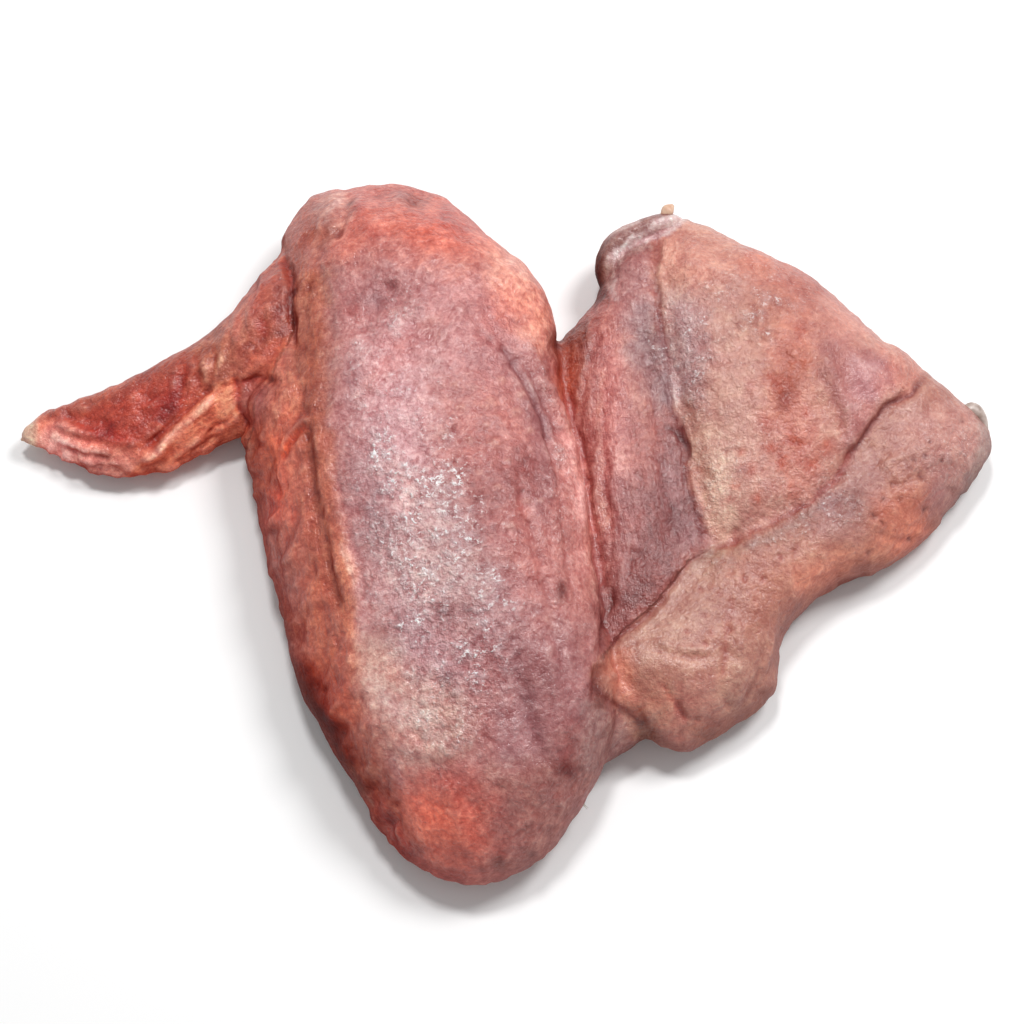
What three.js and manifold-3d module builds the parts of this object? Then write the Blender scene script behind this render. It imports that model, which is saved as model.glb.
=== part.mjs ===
// Raw turkey wing, whole, laid on its flat side with the skin up.
// Millimetres, +Z up. +X runs from the wing tip towards the cut shoulder skin,
// +Y from the elbow towards the wrist. The origin is under the middle of the
// wing, on the plane that it lies on.
//
// The wing is one piece of food, so it is one solid: six fleshy segments are
// lofted, each from a handful of cross-sections, joined, and cut off flat
// where they rest.
import * as THREE from 'three';
import { mergeVertices } from 'three/addons/utils/BufferGeometryUtils.js';
import Module from 'manifold-3d';

// ---- driving sizes ---------------------------------------------------------
const FOREARM_THICK = 43.5;   // crown of the forearm above the table
const HAND_THICK = 28;        // thick end of the wing tip, where it meets the wrist
const WEB_THICK = 23.5;       // thin web of skin over the upper arm
const BREAST_SKIN_THICK = 32.5; // domed patch of skin over the shoulder
const JOINT_THICK = 21.5;     // rolled end of muscle at the cut shoulder joint
const FLAP_THICK = 25;        // loose band of skin that ends in a lobe
const UNDERSIDE = -4;         // sections run this far below the table and are cut off flat
const EDGE_NOTCH = 1.1;       // depth of the ragged quill edge of the wing tip
const ROW = 5.0;              // spacing of the rows along a segment
const QUARTER = 6;            // points in each quarter of a section
const SHORTEST_EDGE = 0.25;   // shorter edges left by the joins are closed up

// ---- segments --------------------------------------------------------------
// Each section: left edge [x, y, z], right edge [x, y, z], where the crown lies
// across it (0 left, 1 right), the crown's height as a share of `thick`, and how
// high its underside hangs, which is UNDERSIDE if left out.
// `round` is how square the shoulders are, left and right (2 is an ellipse).
// `folds` run lengthwise: [across, half width, height, first row, last row],
// with width, first and last as shares of the segment.
const SEGMENTS = [
  {
    name: 'forearm', thick: FOREARM_THICK, round: [1.75, 2.2],
    start: [-35.5, 90.2, 17], end: [-8.5, -92.9, 9.5],
    sections: [
      [[-54.5, 84.9, 17.0], [-16.2, 85.4, 17.0], 0.50, 0.52, 9],
      [[-59.4, 75.6, 15.6], [-6.2, 75.0, 16.7], 0.53, 0.75, 2],
      [[-61.0, 65.5, 14.2], [3.4, 65.5, 16.7], 0.54, 0.88, -3],
      [[-63.0, 46.0, 12.8], [11.2, 47.0, 15.8], 0.56, 0.94],
      [[-67.7, 20.9, 11.2], [14.4, 21.8, 15.8], 0.58, 0.98],
      [[-62.8, -3.4, 11.2], [19.0, -2.4, 15.8], 0.58, 1.00],
      [[-56.5, -27.1, 11.2], [22.6, -26.5, 15.8], 0.58, 0.98],
      [[-49.1, -51.6, 11.2], [25.0, -51.4, 14.0], 0.56, 0.88],
      [[-37.0, -71.8, 10.2], [18.8, -70.8, 12.1], 0.53, 0.72, -3],
      [[-28.5, -83.5, 9.6], [10.5, -83.2, 10.5], 0.50, 0.52, 1],
    ],
    folds: [
      [0.27, 0.045, 1.5, 0.36, 0.80],   // crest of the folded front edge
      [0.16, 0.06, -1.6, 0.30, 0.85],   // furrow outside it
      [0.80, 0.05, -1.6, 0.18, 0.52],   // crease along the back of the forearm
      [0.93, 0.05, 1.2, 0.50, 0.80],    // rolled back edge over the web
    ],
  },
  {
    name: 'hand', thick: HAND_THICK, round: [2.0, 1.6], row: 3.6, notch: EDGE_NOTCH,
    start: [-126, 23.6, 6.5], end: [-34, 60.3, 16.7],
    sections: [
      [[-118.9, 30.7, 7.4], [-118.5, 20.4, 5.6], 0.40, 0.35, 4],
      [[-104.1, 35.2, 10.2], [-104.2, 12.9, 5.6], 0.33, 0.52, 3],
      [[-89.6, 41.4, 13.0], [-88.4, 14.5, 6.5], 0.32, 0.62, 2],
      [[-75.4, 51.0, 14.9], [-72.5, 22.4, 8.4], 0.38, 0.77, 0],
      [[-64.8, 65.0, 15.8], [-57.4, 28.6, 9.3], 0.45, 0.97, -1],
      [[-50.5, 76.9, 16.7], [-36.5, 42.3, 13.0], 0.50, 1.00, 0],
    ],
    folds: [
      [0.48, 0.20, -3.2, 0.08, 0.46],   // hollow inner face of the tip
      [0.80, 0.10, 1.8, 0.25, 0.60],    // rolled lower rim
      [0.30, 0.07, 1.2, 0.45, 0.75],    // tendon towards the wrist
    ],
  },
  {
    name: 'upper_arm_web', thick: WEB_THICK, round: [2.0, 1.8], row: 6,
    start: [34.7, 75.5, 14.5], end: [12.5, -66.8, 7.4],
    sections: [
      [[27.8, 68.2, 13.0], [49.1, 71.8, 13.0], 0.50, 0.88, 2],
      [[16.8, 53.6, 10.2], [60.0, 54.6, 13.0], 0.42, 0.99],
      [[6.5, 41.5, 7.4], [63.5, 36.7, 13.0], 0.44, 0.99],
      [[12.2, 6.0, 7.4], [63.8, 9.3, 13.0], 0.38, 0.99],
      [[15.7, -31.1, 7.4], [57.3, -29.9, 12.1], 0.36, 0.95],
      [[13.8, -52.1, 7.4], [41.5, -49.2, 11.2], 0.40, 0.79],
    ],
    folds: [
      [0.52, 0.10, -2.4, 0.12, 0.75],   // valley beside the shoulder skin
      [0.30, 0.08, 1.2, 0.20, 0.60],    // fibrous strand down the web
    ],
  },
  {
    name: 'breast_skin', thick: BREAST_SKIN_THICK, round: [2.8, 2.0],
    start: [43, 81.5, 13], end: [53, -15.3, 11.2],
    sections: [
      [[36.2, 76.2, 12.6], [54.9, 75.6, 13.0], 0.50, 0.62, 3],
      [[37.6, 61.6, 14.0], [76.2, 63.8, 13.0], 0.45, 0.86, -2],
      [[39.9, 41.5, 14.9], [96.5, 45.4, 12.1], 0.43, 0.99],
      [[41.4, 29.5, 14.9], [104.6, 37.6, 12.0], 0.42, 1.00],
      [[43.2, 15.5, 14.9], [99.0, 20.0, 11.2], 0.40, 0.94],
      [[46.6, -0.4, 14.0], [82.4, 1.6, 12.1], 0.42, 0.83],
    ],
    folds: [[0.62, 0.12, -1.0, 0.25, 0.70]],
  },
  {
    name: 'joint_head', thick: JOINT_THICK, round: [2.0, 2.0], row: 3.2, quarter: 4,
    start: [23.4, 63.6, 12.1], end: [47.5, 76.7, 14.9],
    sections: [
      [[22.2, 69.4, 12.1], [28.6, 65.3, 12.1], 0.50, 0.82, 6],
      [[25.4, 76.2, 12.1], [31.9, 70.5, 12.1], 0.50, 0.95, 4],
      [[33.8, 80.8, 12.1], [36.6, 73.0, 13.0], 0.50, 1.00, 3],
      [[41.0, 82.2, 12.1], [41.8, 75.3, 13.0], 0.50, 0.95, 3],
    ],
    folds: [],
  },
  {
    name: 'skin_flap', thick: FLAP_THICK, round: [2.6, 2.0],
    start: [122.1, 22.5, 9.3], end: [33.7, -57.2, 9.3],
    sections: [
      [[114.8, 30.2, 11.2], [120.4, 15.8, 7.4], 0.50, 0.63, 1],
      [[106.8, 36.3, 14.0], [114.3, 7.4, 7.4], 0.50, 0.82, -2],
      [[82.6, 13.5, 19.5], [94.8, -11.2, 7.4], 0.45, 0.97],
      [[65.9, -0.4, 20.5], [77.3, -19.3, 8.4], 0.45, 1.00],
      [[47.5, -14.7, 19.5], [67.6, -31.8, 7.4], 0.45, 0.97, -2],
      [[31.3, -30.9, 18.6], [64.5, -44.6, 7.4], 0.42, 0.97, 1],
      [[22.4, -39.8, 17.7], [54.5, -53.1, 7.4], 0.42, 0.93, 3],
      [[23.0, -45.6, 13.0], [44.0, -59.2, 7.4], 0.45, 0.71, 4],
    ],
    folds: [
      [0.36, 0.08, -1.0, 0.20, 0.95],   // soft crease inside the band
      [0.62, 0.07, 0.9, 0.55, 0.95],    // pleat of the lobe
    ],
  },
];

// ---- lofting ---------------------------------------------------------------
const lerp = (a, b, t) => a.map((v, i) => v + (b[i] - v) * t);
const bump = (x, at, width) => Math.exp(-(((x - at) / width) ** 2));
const window_ = (s, from, to) => {
  const edge = 0.08;
  const up = THREE.MathUtils.smoothstep(s, from - edge, from + edge);
  return up * (1 - THREE.MathUtils.smoothstep(s, to - edge, to + edge));
};

// smooth curve through unevenly spaced values
function through(keys, rows, x) {
  const n = keys.length;
  let i = 0;
  while (i < n - 2 && x > keys[i + 1]) i++;
  const slope = (k) => {
    if (k === 0) return rows[0].map((v, j) => (rows[1][j] - v) / (keys[1] - keys[0]));
    if (k === n - 1) return rows[k].map((v, j) => (v - rows[k - 1][j]) / (keys[k] - keys[k - 1]));
    const h0 = keys[k] - keys[k - 1], h1 = keys[k + 1] - keys[k];
    return rows[k].map((v, j) =>
      ((v - rows[k - 1][j]) / h0 * h1 + (rows[k + 1][j] - v) / h1 * h0) / (h0 + h1));
  };
  const h = keys[i + 1] - keys[i], t = (x - keys[i]) / h, a = slope(i), b = slope(i + 1);
  const t2 = t * t, t3 = t2 * t;
  return rows[i].map((v, j) => (2 * t3 - 3 * t2 + 1) * v + (t3 - 2 * t2 + t) * h * a[j]
    + (3 * t2 - 2 * t3) * rows[i + 1][j] + (t3 - t2) * h * b[j]);
}

// one closed cross-section; row = [left xyz, right xyz, crown across, crown z, underside z]
function section(row, s, seg) {
  const left = row.slice(0, 3), right = row.slice(3, 6), crownAt = row[6], crownZ = row[7], under = row[8];
  const n = seg.quarter ?? QUARTER;
  const rim = (t) => left[2] + (right[2] - left[2]) * t;
  const points = [];
  const put = (t, z) => {
    const p = lerp(left, right, t);
    points.push(new THREE.Vector3(p[0], p[1], z));
  };
  const relief = (t, rise) => seg.folds.reduce((sum, [at, width, height, from, to]) =>
    sum + height * bump(t, at, width) * window_(s, from, to), 0) * Math.min(1, rise * 3);
  const top = (angle, power, side) => {
    const reach = Math.cos(angle) ** (2 / power), rise = Math.sin(angle) ** (2 / power);
    const t = side < 0 ? crownAt * (1 - reach) : crownAt + (1 - crownAt) * reach;
    put(t, rim(t) + (crownZ - rim(t)) * rise + relief(t, rise));
  };
  for (let k = 0; k < n; k++) top(k / n * Math.PI / 2, seg.round[0], -1);
  for (let k = n; k > 0; k--) top(k / n * Math.PI / 2, seg.round[1], 1);
  for (let k = 0; k < 2 * n; k++) {
    const a = k / (2 * n) * Math.PI, c = Math.cos(a);
    const t = 0.5 + 0.5 * Math.sign(c) * Math.abs(c) ** (2 / 2.4);
    put(t, rim(t) - (rim(t) - under) * Math.sin(a) ** (2 / 2.4));
  }
  return points;
}

function loft(seg) {
  const rows = seg.sections.map(([l, r, at, share, under]) =>
    [...l, ...r, at, share * seg.thick, under ?? UNDERSIDE]);
  const middle = (row) => [(row[0] + row[3]) / 2, (row[1] + row[4]) / 2];
  const stops = [seg.start, ...rows.map(middle), seg.end];
  const along = [0];
  for (let i = 1; i < stops.length; i++) {
    along.push(along[i - 1] + Math.hypot(stops[i][0] - stops[i - 1][0], stops[i][1] - stops[i - 1][1]));
  }
  const total = along[along.length - 1], keys = along.slice(1, -1);
  const rings = [];
  // rounded end: the section opens out from the end point
  const cap = (end, row, share, s) => {
    const open = share, move = share ** 1.9;
    const point = [...end, ...end, row[6], end[2] + 0.1, end[2] - 0.1];
    const out = lerp(point, row, open);
    for (const i of [0, 1]) {
      const mid = (row[i] + row[i + 3]) / 2;
      const shift = end[i] + (mid - end[i]) * move - (end[i] + (mid - end[i]) * open);
      out[i] += shift; out[i + 3] += shift;
    }
    rings.push(section(out, s, seg));
  };
  const first = rows[0], last = rows[rows.length - 1];
  for (let k = 1; k < 4; k++) cap(seg.start, first, k / 4, keys[0] / total * k / 4);
  const count = Math.round((keys[keys.length - 1] - keys[0]) / (seg.row ?? ROW));
  for (let k = 0; k <= count; k++) {
    const x = keys[0] + (keys[keys.length - 1] - keys[0]) * k / count;
    const row = through(keys, rows, x);
    if (seg.notch) {            // ragged edge left by the plucked quills
      const w = seg.notch * (0.6 * Math.sin(x * 0.83) + 0.4 * Math.sin(x * 0.47 + 1.3));
      const d = Math.hypot(row[3] - row[0], row[4] - row[1]);
      row[3] += (row[3] - row[0]) / d * w; row[4] += (row[4] - row[1]) / d * w;
    }
    rings.push(section(row, x / total, seg));
  }
  for (let k = 3; k > 0; k--) cap(seg.end, last, k / 4, 1 - (1 - keys[keys.length - 1] / total) * k / 4);

  const n = rings[0].length;
  const points = [new THREE.Vector3(...seg.start), ...rings.flat(), new THREE.Vector3(...seg.end)];
  const faces = [];
  for (let k = 0; k < n; k++) faces.push([0, 1 + k, 1 + (k + 1) % n]);
  for (let i = 0; i < rings.length - 1; i++) {
    for (let k = 0; k < n; k++) {
      const a = 1 + i * n + k, b = 1 + i * n + (k + 1) % n;
      faces.push([a, b + n, b], [a, a + n, b + n]);
    }
  }
  const base = 1 + (rings.length - 1) * n, tip = points.length - 1;
  for (let k = 0; k < n; k++) faces.push([tip, base + (k + 1) % n, base + k]);
  // a segment that runs the other way round has its faces turned outwards
  const volume = faces.reduce((sum, [a, b, c]) =>
    sum + points[a].dot(points[b].clone().cross(points[c])) / 6, 0);
  if (volume < 0) faces.forEach((f) => f.reverse());
  const geometry = new THREE.BufferGeometry().setFromPoints(points);
  geometry.setIndex(faces.flat());
  return geometry;
}

// ---- joining ---------------------------------------------------------------
const wasm = await Module();
wasm.setup();

function solid(geometry) {
  geometry.deleteAttribute('normal');
  geometry.deleteAttribute('uv');
  const merged = mergeVertices(geometry, 1e-4);
  return new wasm.Manifold(new wasm.Mesh({
    numProp: 3,
    vertProperties: new Float32Array(merged.attributes.position.array),
    triVerts: new Uint32Array(merged.index.array),
  }));
}

let wing = null;
for (const seg of SEGMENTS) {
  const piece = solid(loft(seg));
  wing = wing ? wing.add(piece) : piece;
}
const below = new THREE.BoxGeometry(400, 400, 60);
below.translate(0, 0, -30);
wing = wing.subtract(solid(below));

// Where two segments meet, the cut leaves very short edges. Each one is drawn
// together to a point, as long as the surface stays closed.
function closeShortEdges(vertices, triangles, shortest) {
  const tris = [];
  for (let i = 0; i < triangles.length; i += 3) tris.push([...triangles.slice(i, i + 3)]);
  const at = (v) => new THREE.Vector3(vertices[3 * v], vertices[3 * v + 1], vertices[3 * v + 2]);
  const uses = new Map();
  tris.forEach((t, i) => t.forEach((v) => {
    if (!uses.has(v)) uses.set(v, new Set());
    uses.get(v).add(i);
  }));
  const around = (v) => new Set([...uses.get(v)].flatMap((i) => tris[i]).filter((w) => w !== v));
  let changed = true;
  while (changed) {
    changed = false;
    for (let i = 0; i < tris.length; i++) {
      for (let k = 0; k < 3 && tris[i]; k++) {
        const a = tris[i][k], b = tris[i][(k + 1) % 3];
        if (at(a).distanceTo(at(b)) >= shortest) continue;
        const ringA = around(a), shared = [...around(b)].filter((w) => ringA.has(w));
        if (shared.length !== 2) continue;
        for (const j of [...uses.get(b)]) {
          if (tris[j].includes(a)) {
            for (const v of tris[j]) uses.get(v).delete(j);
            tris[j] = null;
          } else {
            tris[j] = tris[j].map((v) => (v === b ? a : v));
            uses.get(a).add(j);
          }
        }
        uses.delete(b);
        changed = true;
      }
    }
  }
  const order = [...uses.keys()], place = new Map(order.map((v, i) => [v, i]));
  return {
    vertices: new Float32Array(order.flatMap((v) => [...vertices.slice(3 * v, 3 * v + 3)])),
    triangles: new Uint32Array(tris.filter(Boolean).flat().map((v) => place.get(v))),
  };
}

const cut = wing.getMesh();
const same = new Map([...cut.mergeFromVert].map((v, i) => [v, cut.mergeToVert[i]]));
const joined = [...cut.triVerts].map((v) => same.get(v) ?? v);
const clean = closeShortEdges(cut.vertProperties, joined, SHORTEST_EDGE);
const geometry = new THREE.BufferGeometry();
geometry.setAttribute('position', new THREE.BufferAttribute(clean.vertices, 3));
geometry.setIndex(new THREE.BufferAttribute(clean.triangles, 1));
geometry.computeBoundingBox();
const box = geometry.boundingBox;
geometry.translate(-(box.min.x + box.max.x) / 2, -(box.min.y + box.max.y) / 2, -box.min.z);
geometry.computeVertexNormals();

const skin = new THREE.MeshStandardMaterial({ color: 0xd08a80, roughness: 0.42, metalness: 0 });
const mesh = new THREE.Mesh(geometry, skin);
mesh.name = 'turkey_wing';

const turkeyWing = new THREE.Group();
turkeyWing.name = 'raw_turkey_wing';
turkeyWing.add(mesh);
export default turkeyWing;
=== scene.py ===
# Raw turkey wing, folded and laid skin side up. Lengths are in millimetres until
# the meshes are written, which are in metres.
import math

import bpy
import numpy as np
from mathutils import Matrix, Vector


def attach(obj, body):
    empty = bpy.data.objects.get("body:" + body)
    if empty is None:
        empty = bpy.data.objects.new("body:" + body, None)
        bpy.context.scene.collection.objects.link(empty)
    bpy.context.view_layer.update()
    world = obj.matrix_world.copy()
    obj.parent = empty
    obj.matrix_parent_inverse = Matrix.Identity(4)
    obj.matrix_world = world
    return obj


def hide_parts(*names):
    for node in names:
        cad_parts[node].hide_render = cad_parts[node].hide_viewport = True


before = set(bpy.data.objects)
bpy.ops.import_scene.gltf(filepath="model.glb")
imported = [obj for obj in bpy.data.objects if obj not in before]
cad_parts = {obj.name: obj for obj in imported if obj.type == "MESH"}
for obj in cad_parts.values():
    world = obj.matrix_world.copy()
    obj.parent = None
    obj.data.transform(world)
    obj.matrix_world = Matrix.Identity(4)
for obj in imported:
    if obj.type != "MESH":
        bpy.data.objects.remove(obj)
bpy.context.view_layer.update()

MM = 0.001
VOXEL = 0.68

# ---------------------------------------------------------------- the view
# The wing is seen from 70 degrees above the table, from a little over half a
# metre away. look() gives where a point of the wing falls in that view, on a
# square of 1024 by 1024. Marks on the skin are placed in those numbers.
ELEVATION = math.radians(70)
LENS, SENSOR, SIDE = 85.0, 36.0, 1024.0
PER_UNIT = 0.25
FOCAL = SIDE * LENS / SENSOR
DISTANCE = FOCAL * PER_UNIT
SHIFT = np.array([-1.762, -1.35, 0.0])
AIM = np.array([0.0, 0.0, 15.0]) - SHIFT
RIGHT = np.array([1.0, 0.0, 0.0])
UP = np.array([0.0, math.sin(ELEVATION), math.cos(ELEVATION)])
BACK = np.array([0.0, -math.cos(ELEVATION), math.sin(ELEVATION)])
EYE = AIM + DISTANCE * BACK


def look(points):
    q = points - EYE
    depth = -(q @ BACK)
    return np.stack([512 + FOCAL * (q @ RIGHT) / depth, 512 - FOCAL * (q @ UP) / depth], -1)


def place(u, v, z):
    """The point at height z that falls on (u, v) in the view."""
    d = (u - 512) / FOCAL * RIGHT - (v - 512) / FOCAL * UP - BACK
    return EYE + (z - EYE[2]) / d[2] * d


# ---------------------------------------------------------------- noise
def _table(seed):
    rng = np.random.RandomState(seed)
    perm = rng.permutation(256)
    g = rng.normal(size=(256, 3))
    return np.concatenate([perm, perm]), g / np.linalg.norm(g, axis=1)[:, None]


def noise(p, scale, seed=0):
    """Smooth noise of about -1 to 1 with features about `scale` mm apart."""
    perm, grad = _table(seed)
    q = np.asarray(p, float) / scale
    i = np.floor(q).astype(int)
    f = q - i
    s = f * f * f * (f * (f * 6 - 15) + 10)
    i &= 255
    out = np.zeros(len(q))
    for dx in (0, 1):
        for dy in (0, 1):
            for dz in (0, 1):
                h = perm[perm[perm[(i[:, 0] + dx) & 255] + ((i[:, 1] + dy) & 255)] + ((i[:, 2] + dz) & 255)]
                g = grad[h]
                w = ((s[:, 0] if dx else 1 - s[:, 0]) * (s[:, 1] if dy else 1 - s[:, 1])
                     * (s[:, 2] if dz else 1 - s[:, 2]))
                out += w * ((f[:, 0] - dx) * g[:, 0] + (f[:, 1] - dy) * g[:, 1] + (f[:, 2] - dz) * g[:, 2])
    return out * 1.5


def fractal(p, scale, octaves=4, seed=0, rough=0.55):
    total, size, amount = 0.0, 0.0, 1.0
    for k in range(octaves):
        total = total + amount * noise(p, scale / 2**k, seed + 17 * k)
        size += amount
        amount *= rough
    return total / size * 1.4


def ramp(x, low, high):
    t = np.clip((x - low) / (high - low), 0, 1)
    return t * t * (3 - 2 * t)


# ---------------------------------------------------------------- the lofted segments
UNDERSIDE = -4.0
SEGMENTS = {
    "forearm": dict(
        thick=43.5, round=(1.75, 2.2), start=(-35.5, 90.2, 17), end=(-8.5, -92.9, 9.5),
        sections=[
            ((-54.5, 84.9, 17.0), (-16.2, 85.4, 17.0), 0.50, 0.52, 9),
            ((-59.4, 75.6, 15.6), (-6.2, 75.0, 16.7), 0.53, 0.75, 2),
            ((-61.0, 65.5, 14.2), (3.4, 65.5, 16.7), 0.54, 0.88, -3),
            ((-63.0, 46.0, 12.8), (11.2, 47.0, 15.8), 0.56, 0.94),
            ((-67.7, 20.9, 11.2), (14.4, 21.8, 15.8), 0.58, 0.98),
            ((-62.8, -3.4, 11.2), (19.0, -2.4, 15.8), 0.58, 1.00),
            ((-56.5, -27.1, 11.2), (22.6, -26.5, 15.8), 0.58, 0.98),
            ((-49.1, -51.6, 11.2), (25.0, -51.4, 14.0), 0.56, 0.88),
            ((-37.0, -71.8, 10.2), (18.8, -70.8, 12.1), 0.53, 0.72, -3),
            ((-28.5, -83.5, 9.6), (10.5, -83.2, 10.5), 0.50, 0.52, 1),
        ]),
    "hand": dict(
        thick=28, round=(2.0, 1.6), start=(-126, 23.6, 6.5), end=(-34, 60.3, 16.7),
        sections=[
            ((-118.9, 30.7, 7.4), (-118.5, 20.4, 5.6), 0.40, 0.35, 4),
            ((-104.1, 35.2, 10.2), (-104.2, 12.9, 5.6), 0.33, 0.52, 3),
            ((-89.6, 41.4, 13.0), (-88.4, 14.5, 6.5), 0.32, 0.62, 2),
            ((-75.4, 51.0, 14.9), (-72.5, 22.4, 8.4), 0.38, 0.77, 0),
            ((-64.8, 65.0, 15.8), (-57.4, 28.6, 9.3), 0.45, 0.97, -1),
            ((-50.5, 76.9, 16.7), (-36.5, 42.3, 13.0), 0.50, 1.00, 0),
        ]),
    "web": dict(
        thick=23.5, round=(2.0, 1.8), start=(34.7, 75.5, 14.5), end=(12.5, -66.8, 7.4),
        sections=[
            ((27.8, 68.2, 13.0), (49.1, 71.8, 13.0), 0.50, 0.88, 2),
            ((16.8, 53.6, 10.2), (60.0, 54.6, 13.0), 0.42, 0.99),
            ((6.5, 41.5, 7.4), (63.5, 36.7, 13.0), 0.44, 0.99),
            ((12.2, 6.0, 7.4), (63.8, 9.3, 13.0), 0.38, 0.99),
            ((15.7, -31.1, 7.4), (57.3, -29.9, 12.1), 0.36, 0.95),
            ((13.8, -52.1, 7.4), (41.5, -49.2, 11.2), 0.40, 0.79),
        ]),
    "shoulder": dict(
        thick=32.5, round=(2.8, 2.0), start=(43, 81.5, 13), end=(53, -15.3, 11.2),
        sections=[
            ((36.2, 76.2, 12.6), (54.9, 75.6, 13.0), 0.50, 0.62, 3),
            ((37.6, 61.6, 14.0), (76.2, 63.8, 13.0), 0.45, 0.86, -2),
            ((39.9, 41.5, 14.9), (96.5, 45.4, 12.1), 0.43, 0.99),
            ((41.4, 29.5, 14.9), (104.6, 37.6, 12.0), 0.42, 1.00),
            ((43.2, 15.5, 14.9), (99.0, 20.0, 11.2), 0.40, 0.94),
            ((46.6, -0.4, 14.0), (82.4, 1.6, 12.1), 0.42, 0.83),
        ]),
    "joint": dict(
        thick=21.5, round=(2.0, 2.0), start=(23.4, 63.6, 12.1), end=(47.5, 76.7, 14.9),
        sections=[
            ((22.2, 69.4, 12.1), (28.6, 65.3, 12.1), 0.50, 0.82, 6),
            ((25.4, 76.2, 12.1), (31.9, 70.5, 12.1), 0.50, 0.95, 4),
            ((33.8, 80.8, 12.1), (36.6, 73.0, 13.0), 0.50, 1.00, 3),
            ((41.0, 82.2, 12.1), (41.8, 75.3, 13.0), 0.50, 0.95, 3),
        ]),
    "flap": dict(
        thick=25, round=(2.6, 2.0), start=(122.1, 22.5, 9.3), end=(33.7, -57.2, 9.3),
        sections=[
            ((114.8, 30.2, 11.2), (120.4, 15.8, 7.4), 0.50, 0.63, 1),
            ((106.8, 36.3, 14.0), (114.3, 7.4, 7.4), 0.50, 0.82, -2),
            ((82.6, 13.5, 19.5), (94.8, -11.2, 7.4), 0.45, 0.97),
            ((65.9, -0.4, 20.5), (77.3, -19.3, 8.4), 0.45, 1.00),
            ((47.5, -14.7, 19.5), (67.6, -31.8, 7.4), 0.45, 0.97, -2),
            ((31.3, -30.9, 18.6), (64.5, -44.6, 7.4), 0.42, 0.97, 1),
            ((22.4, -39.8, 17.7), (54.5, -53.1, 7.4), 0.42, 0.93, 3),
            ((23.0, -45.6, 13.0), (44.0, -59.2, 7.4), 0.45, 0.71, 4),
        ]),
}


def through(keys, rows, xs):
    """A smooth curve through unevenly spaced rows, read at each x."""
    slope = np.zeros_like(rows)
    slope[0] = (rows[1] - rows[0]) / (keys[1] - keys[0])
    slope[-1] = (rows[-1] - rows[-2]) / (keys[-1] - keys[-2])
    for i in range(1, len(keys) - 1):
        h0, h1 = keys[i] - keys[i - 1], keys[i + 1] - keys[i]
        a, b = (rows[i] - rows[i - 1]) / h0, (rows[i + 1] - rows[i]) / h1
        slope[i] = (a * h1 + b * h0) / (h0 + h1)
    out = []
    for x in xs:
        i = int(np.clip(np.searchsorted(keys, x) - 1, 0, len(keys) - 2))
        h = keys[i + 1] - keys[i]
        t = (x - keys[i]) / h
        out.append((2 * t**3 - 3 * t**2 + 1) * rows[i] + (t**3 - 2 * t**2 + t) * h * slope[i]
                   + (3 * t**2 - 2 * t**3) * rows[i + 1] + (t**3 - t**2) * h * slope[i + 1])
    return out


def ring(row, power, quarter):
    left, right, crown, top, under = row[:3], row[3:6], row[6], row[7], row[8]
    ts, zs = [], []
    rim = lambda t: left[2] + (right[2] - left[2]) * t
    for k in range(quarter):
        a = k / quarter * math.pi / 2
        t = crown * (1 - math.cos(a) ** (2 / power[0]))
        ts.append(t); zs.append(rim(t) + (top - rim(t)) * math.sin(a) ** (2 / power[0]))
    for k in range(quarter, 0, -1):
        a = k / quarter * math.pi / 2
        t = crown + (1 - crown) * abs(math.cos(a)) ** (2 / power[1])
        ts.append(t); zs.append(rim(t) + (top - rim(t)) * math.sin(a) ** (2 / power[1]))
    for k in range(2 * quarter):
        a = k / (2 * quarter) * math.pi
        c = math.cos(a)
        t = 0.5 + 0.5 * math.copysign(abs(c) ** (2 / 2.4), c)
        ts.append(t); zs.append(rim(t) - (rim(t) - under) * math.sin(a) ** (2 / 2.4))
    ts = np.array(ts)[:, None]
    points = left + (right - left) * ts
    points[:, 2] = zs
    return points


def loft(seg, row=1.8, quarter=16, caps=8):
    rows = np.array([[*s[0], *s[1], s[2], s[3] * seg["thick"], s[4] if len(s) > 4 else UNDERSIDE]
                     for s in seg["sections"]], float)
    start, end = np.array(seg["start"], float), np.array(seg["end"], float)
    stops = [start[:2], *((r[0:2] + r[3:5]) / 2 for r in rows), end[:2]]
    keys = np.concatenate([[0], np.cumsum([np.linalg.norm(b - a) for a, b in zip(stops, stops[1:])])])[1:-1]
    rings = []

    def cap(tip, r, share):
        move = share ** 1.9
        point = np.array([*tip, *tip, r[6], tip[2] + 0.1, tip[2] - 0.1])
        out = point + (r - point) * share
        for i in (0, 1):
            mid = (r[i] + r[i + 3]) / 2
            shift = (mid - tip[i]) * (move - share)
            out[i] += shift
            out[i + 3] += shift
        rings.append(ring(out, seg["round"], quarter))

    for k in range(1, caps):
        cap(start, rows[0], k / caps)
    count = int(round((keys[-1] - keys[0]) / row))
    for r in through(keys, rows, np.linspace(keys[0], keys[-1], count + 1)):
        rings.append(ring(r, seg["round"], quarter))
    for k in range(caps - 1, 0, -1):
        cap(end, rows[-1], k / caps)
    n = len(rings[0])
    verts = np.concatenate([[start], *rings, [end]])
    faces = []
    last = 1 + (len(rings) - 1) * n
    for k in range(n):
        faces.append((0, 1 + k, 1 + (k + 1) % n))
        faces.append((len(verts) - 1, last + (k + 1) % n, last + k))
    for i in range(len(rings) - 1):
        a = 1 + i * n
        for k in range(n):
            k2 = (k + 1) % n
            faces.append((a + k, a + n + k2, a + k2))
            faces.append((a + k, a + n + k, a + n + k2))
    faces = np.array(faces)
    p = verts[faces]
    if np.einsum("ij,ij->i", p[:, 0], np.cross(p[:, 1], p[:, 2])).sum() < 0:
        faces = faces[:, ::-1]
    return verts + [-SHIFT[0], -SHIFT[1], 0], faces


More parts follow.
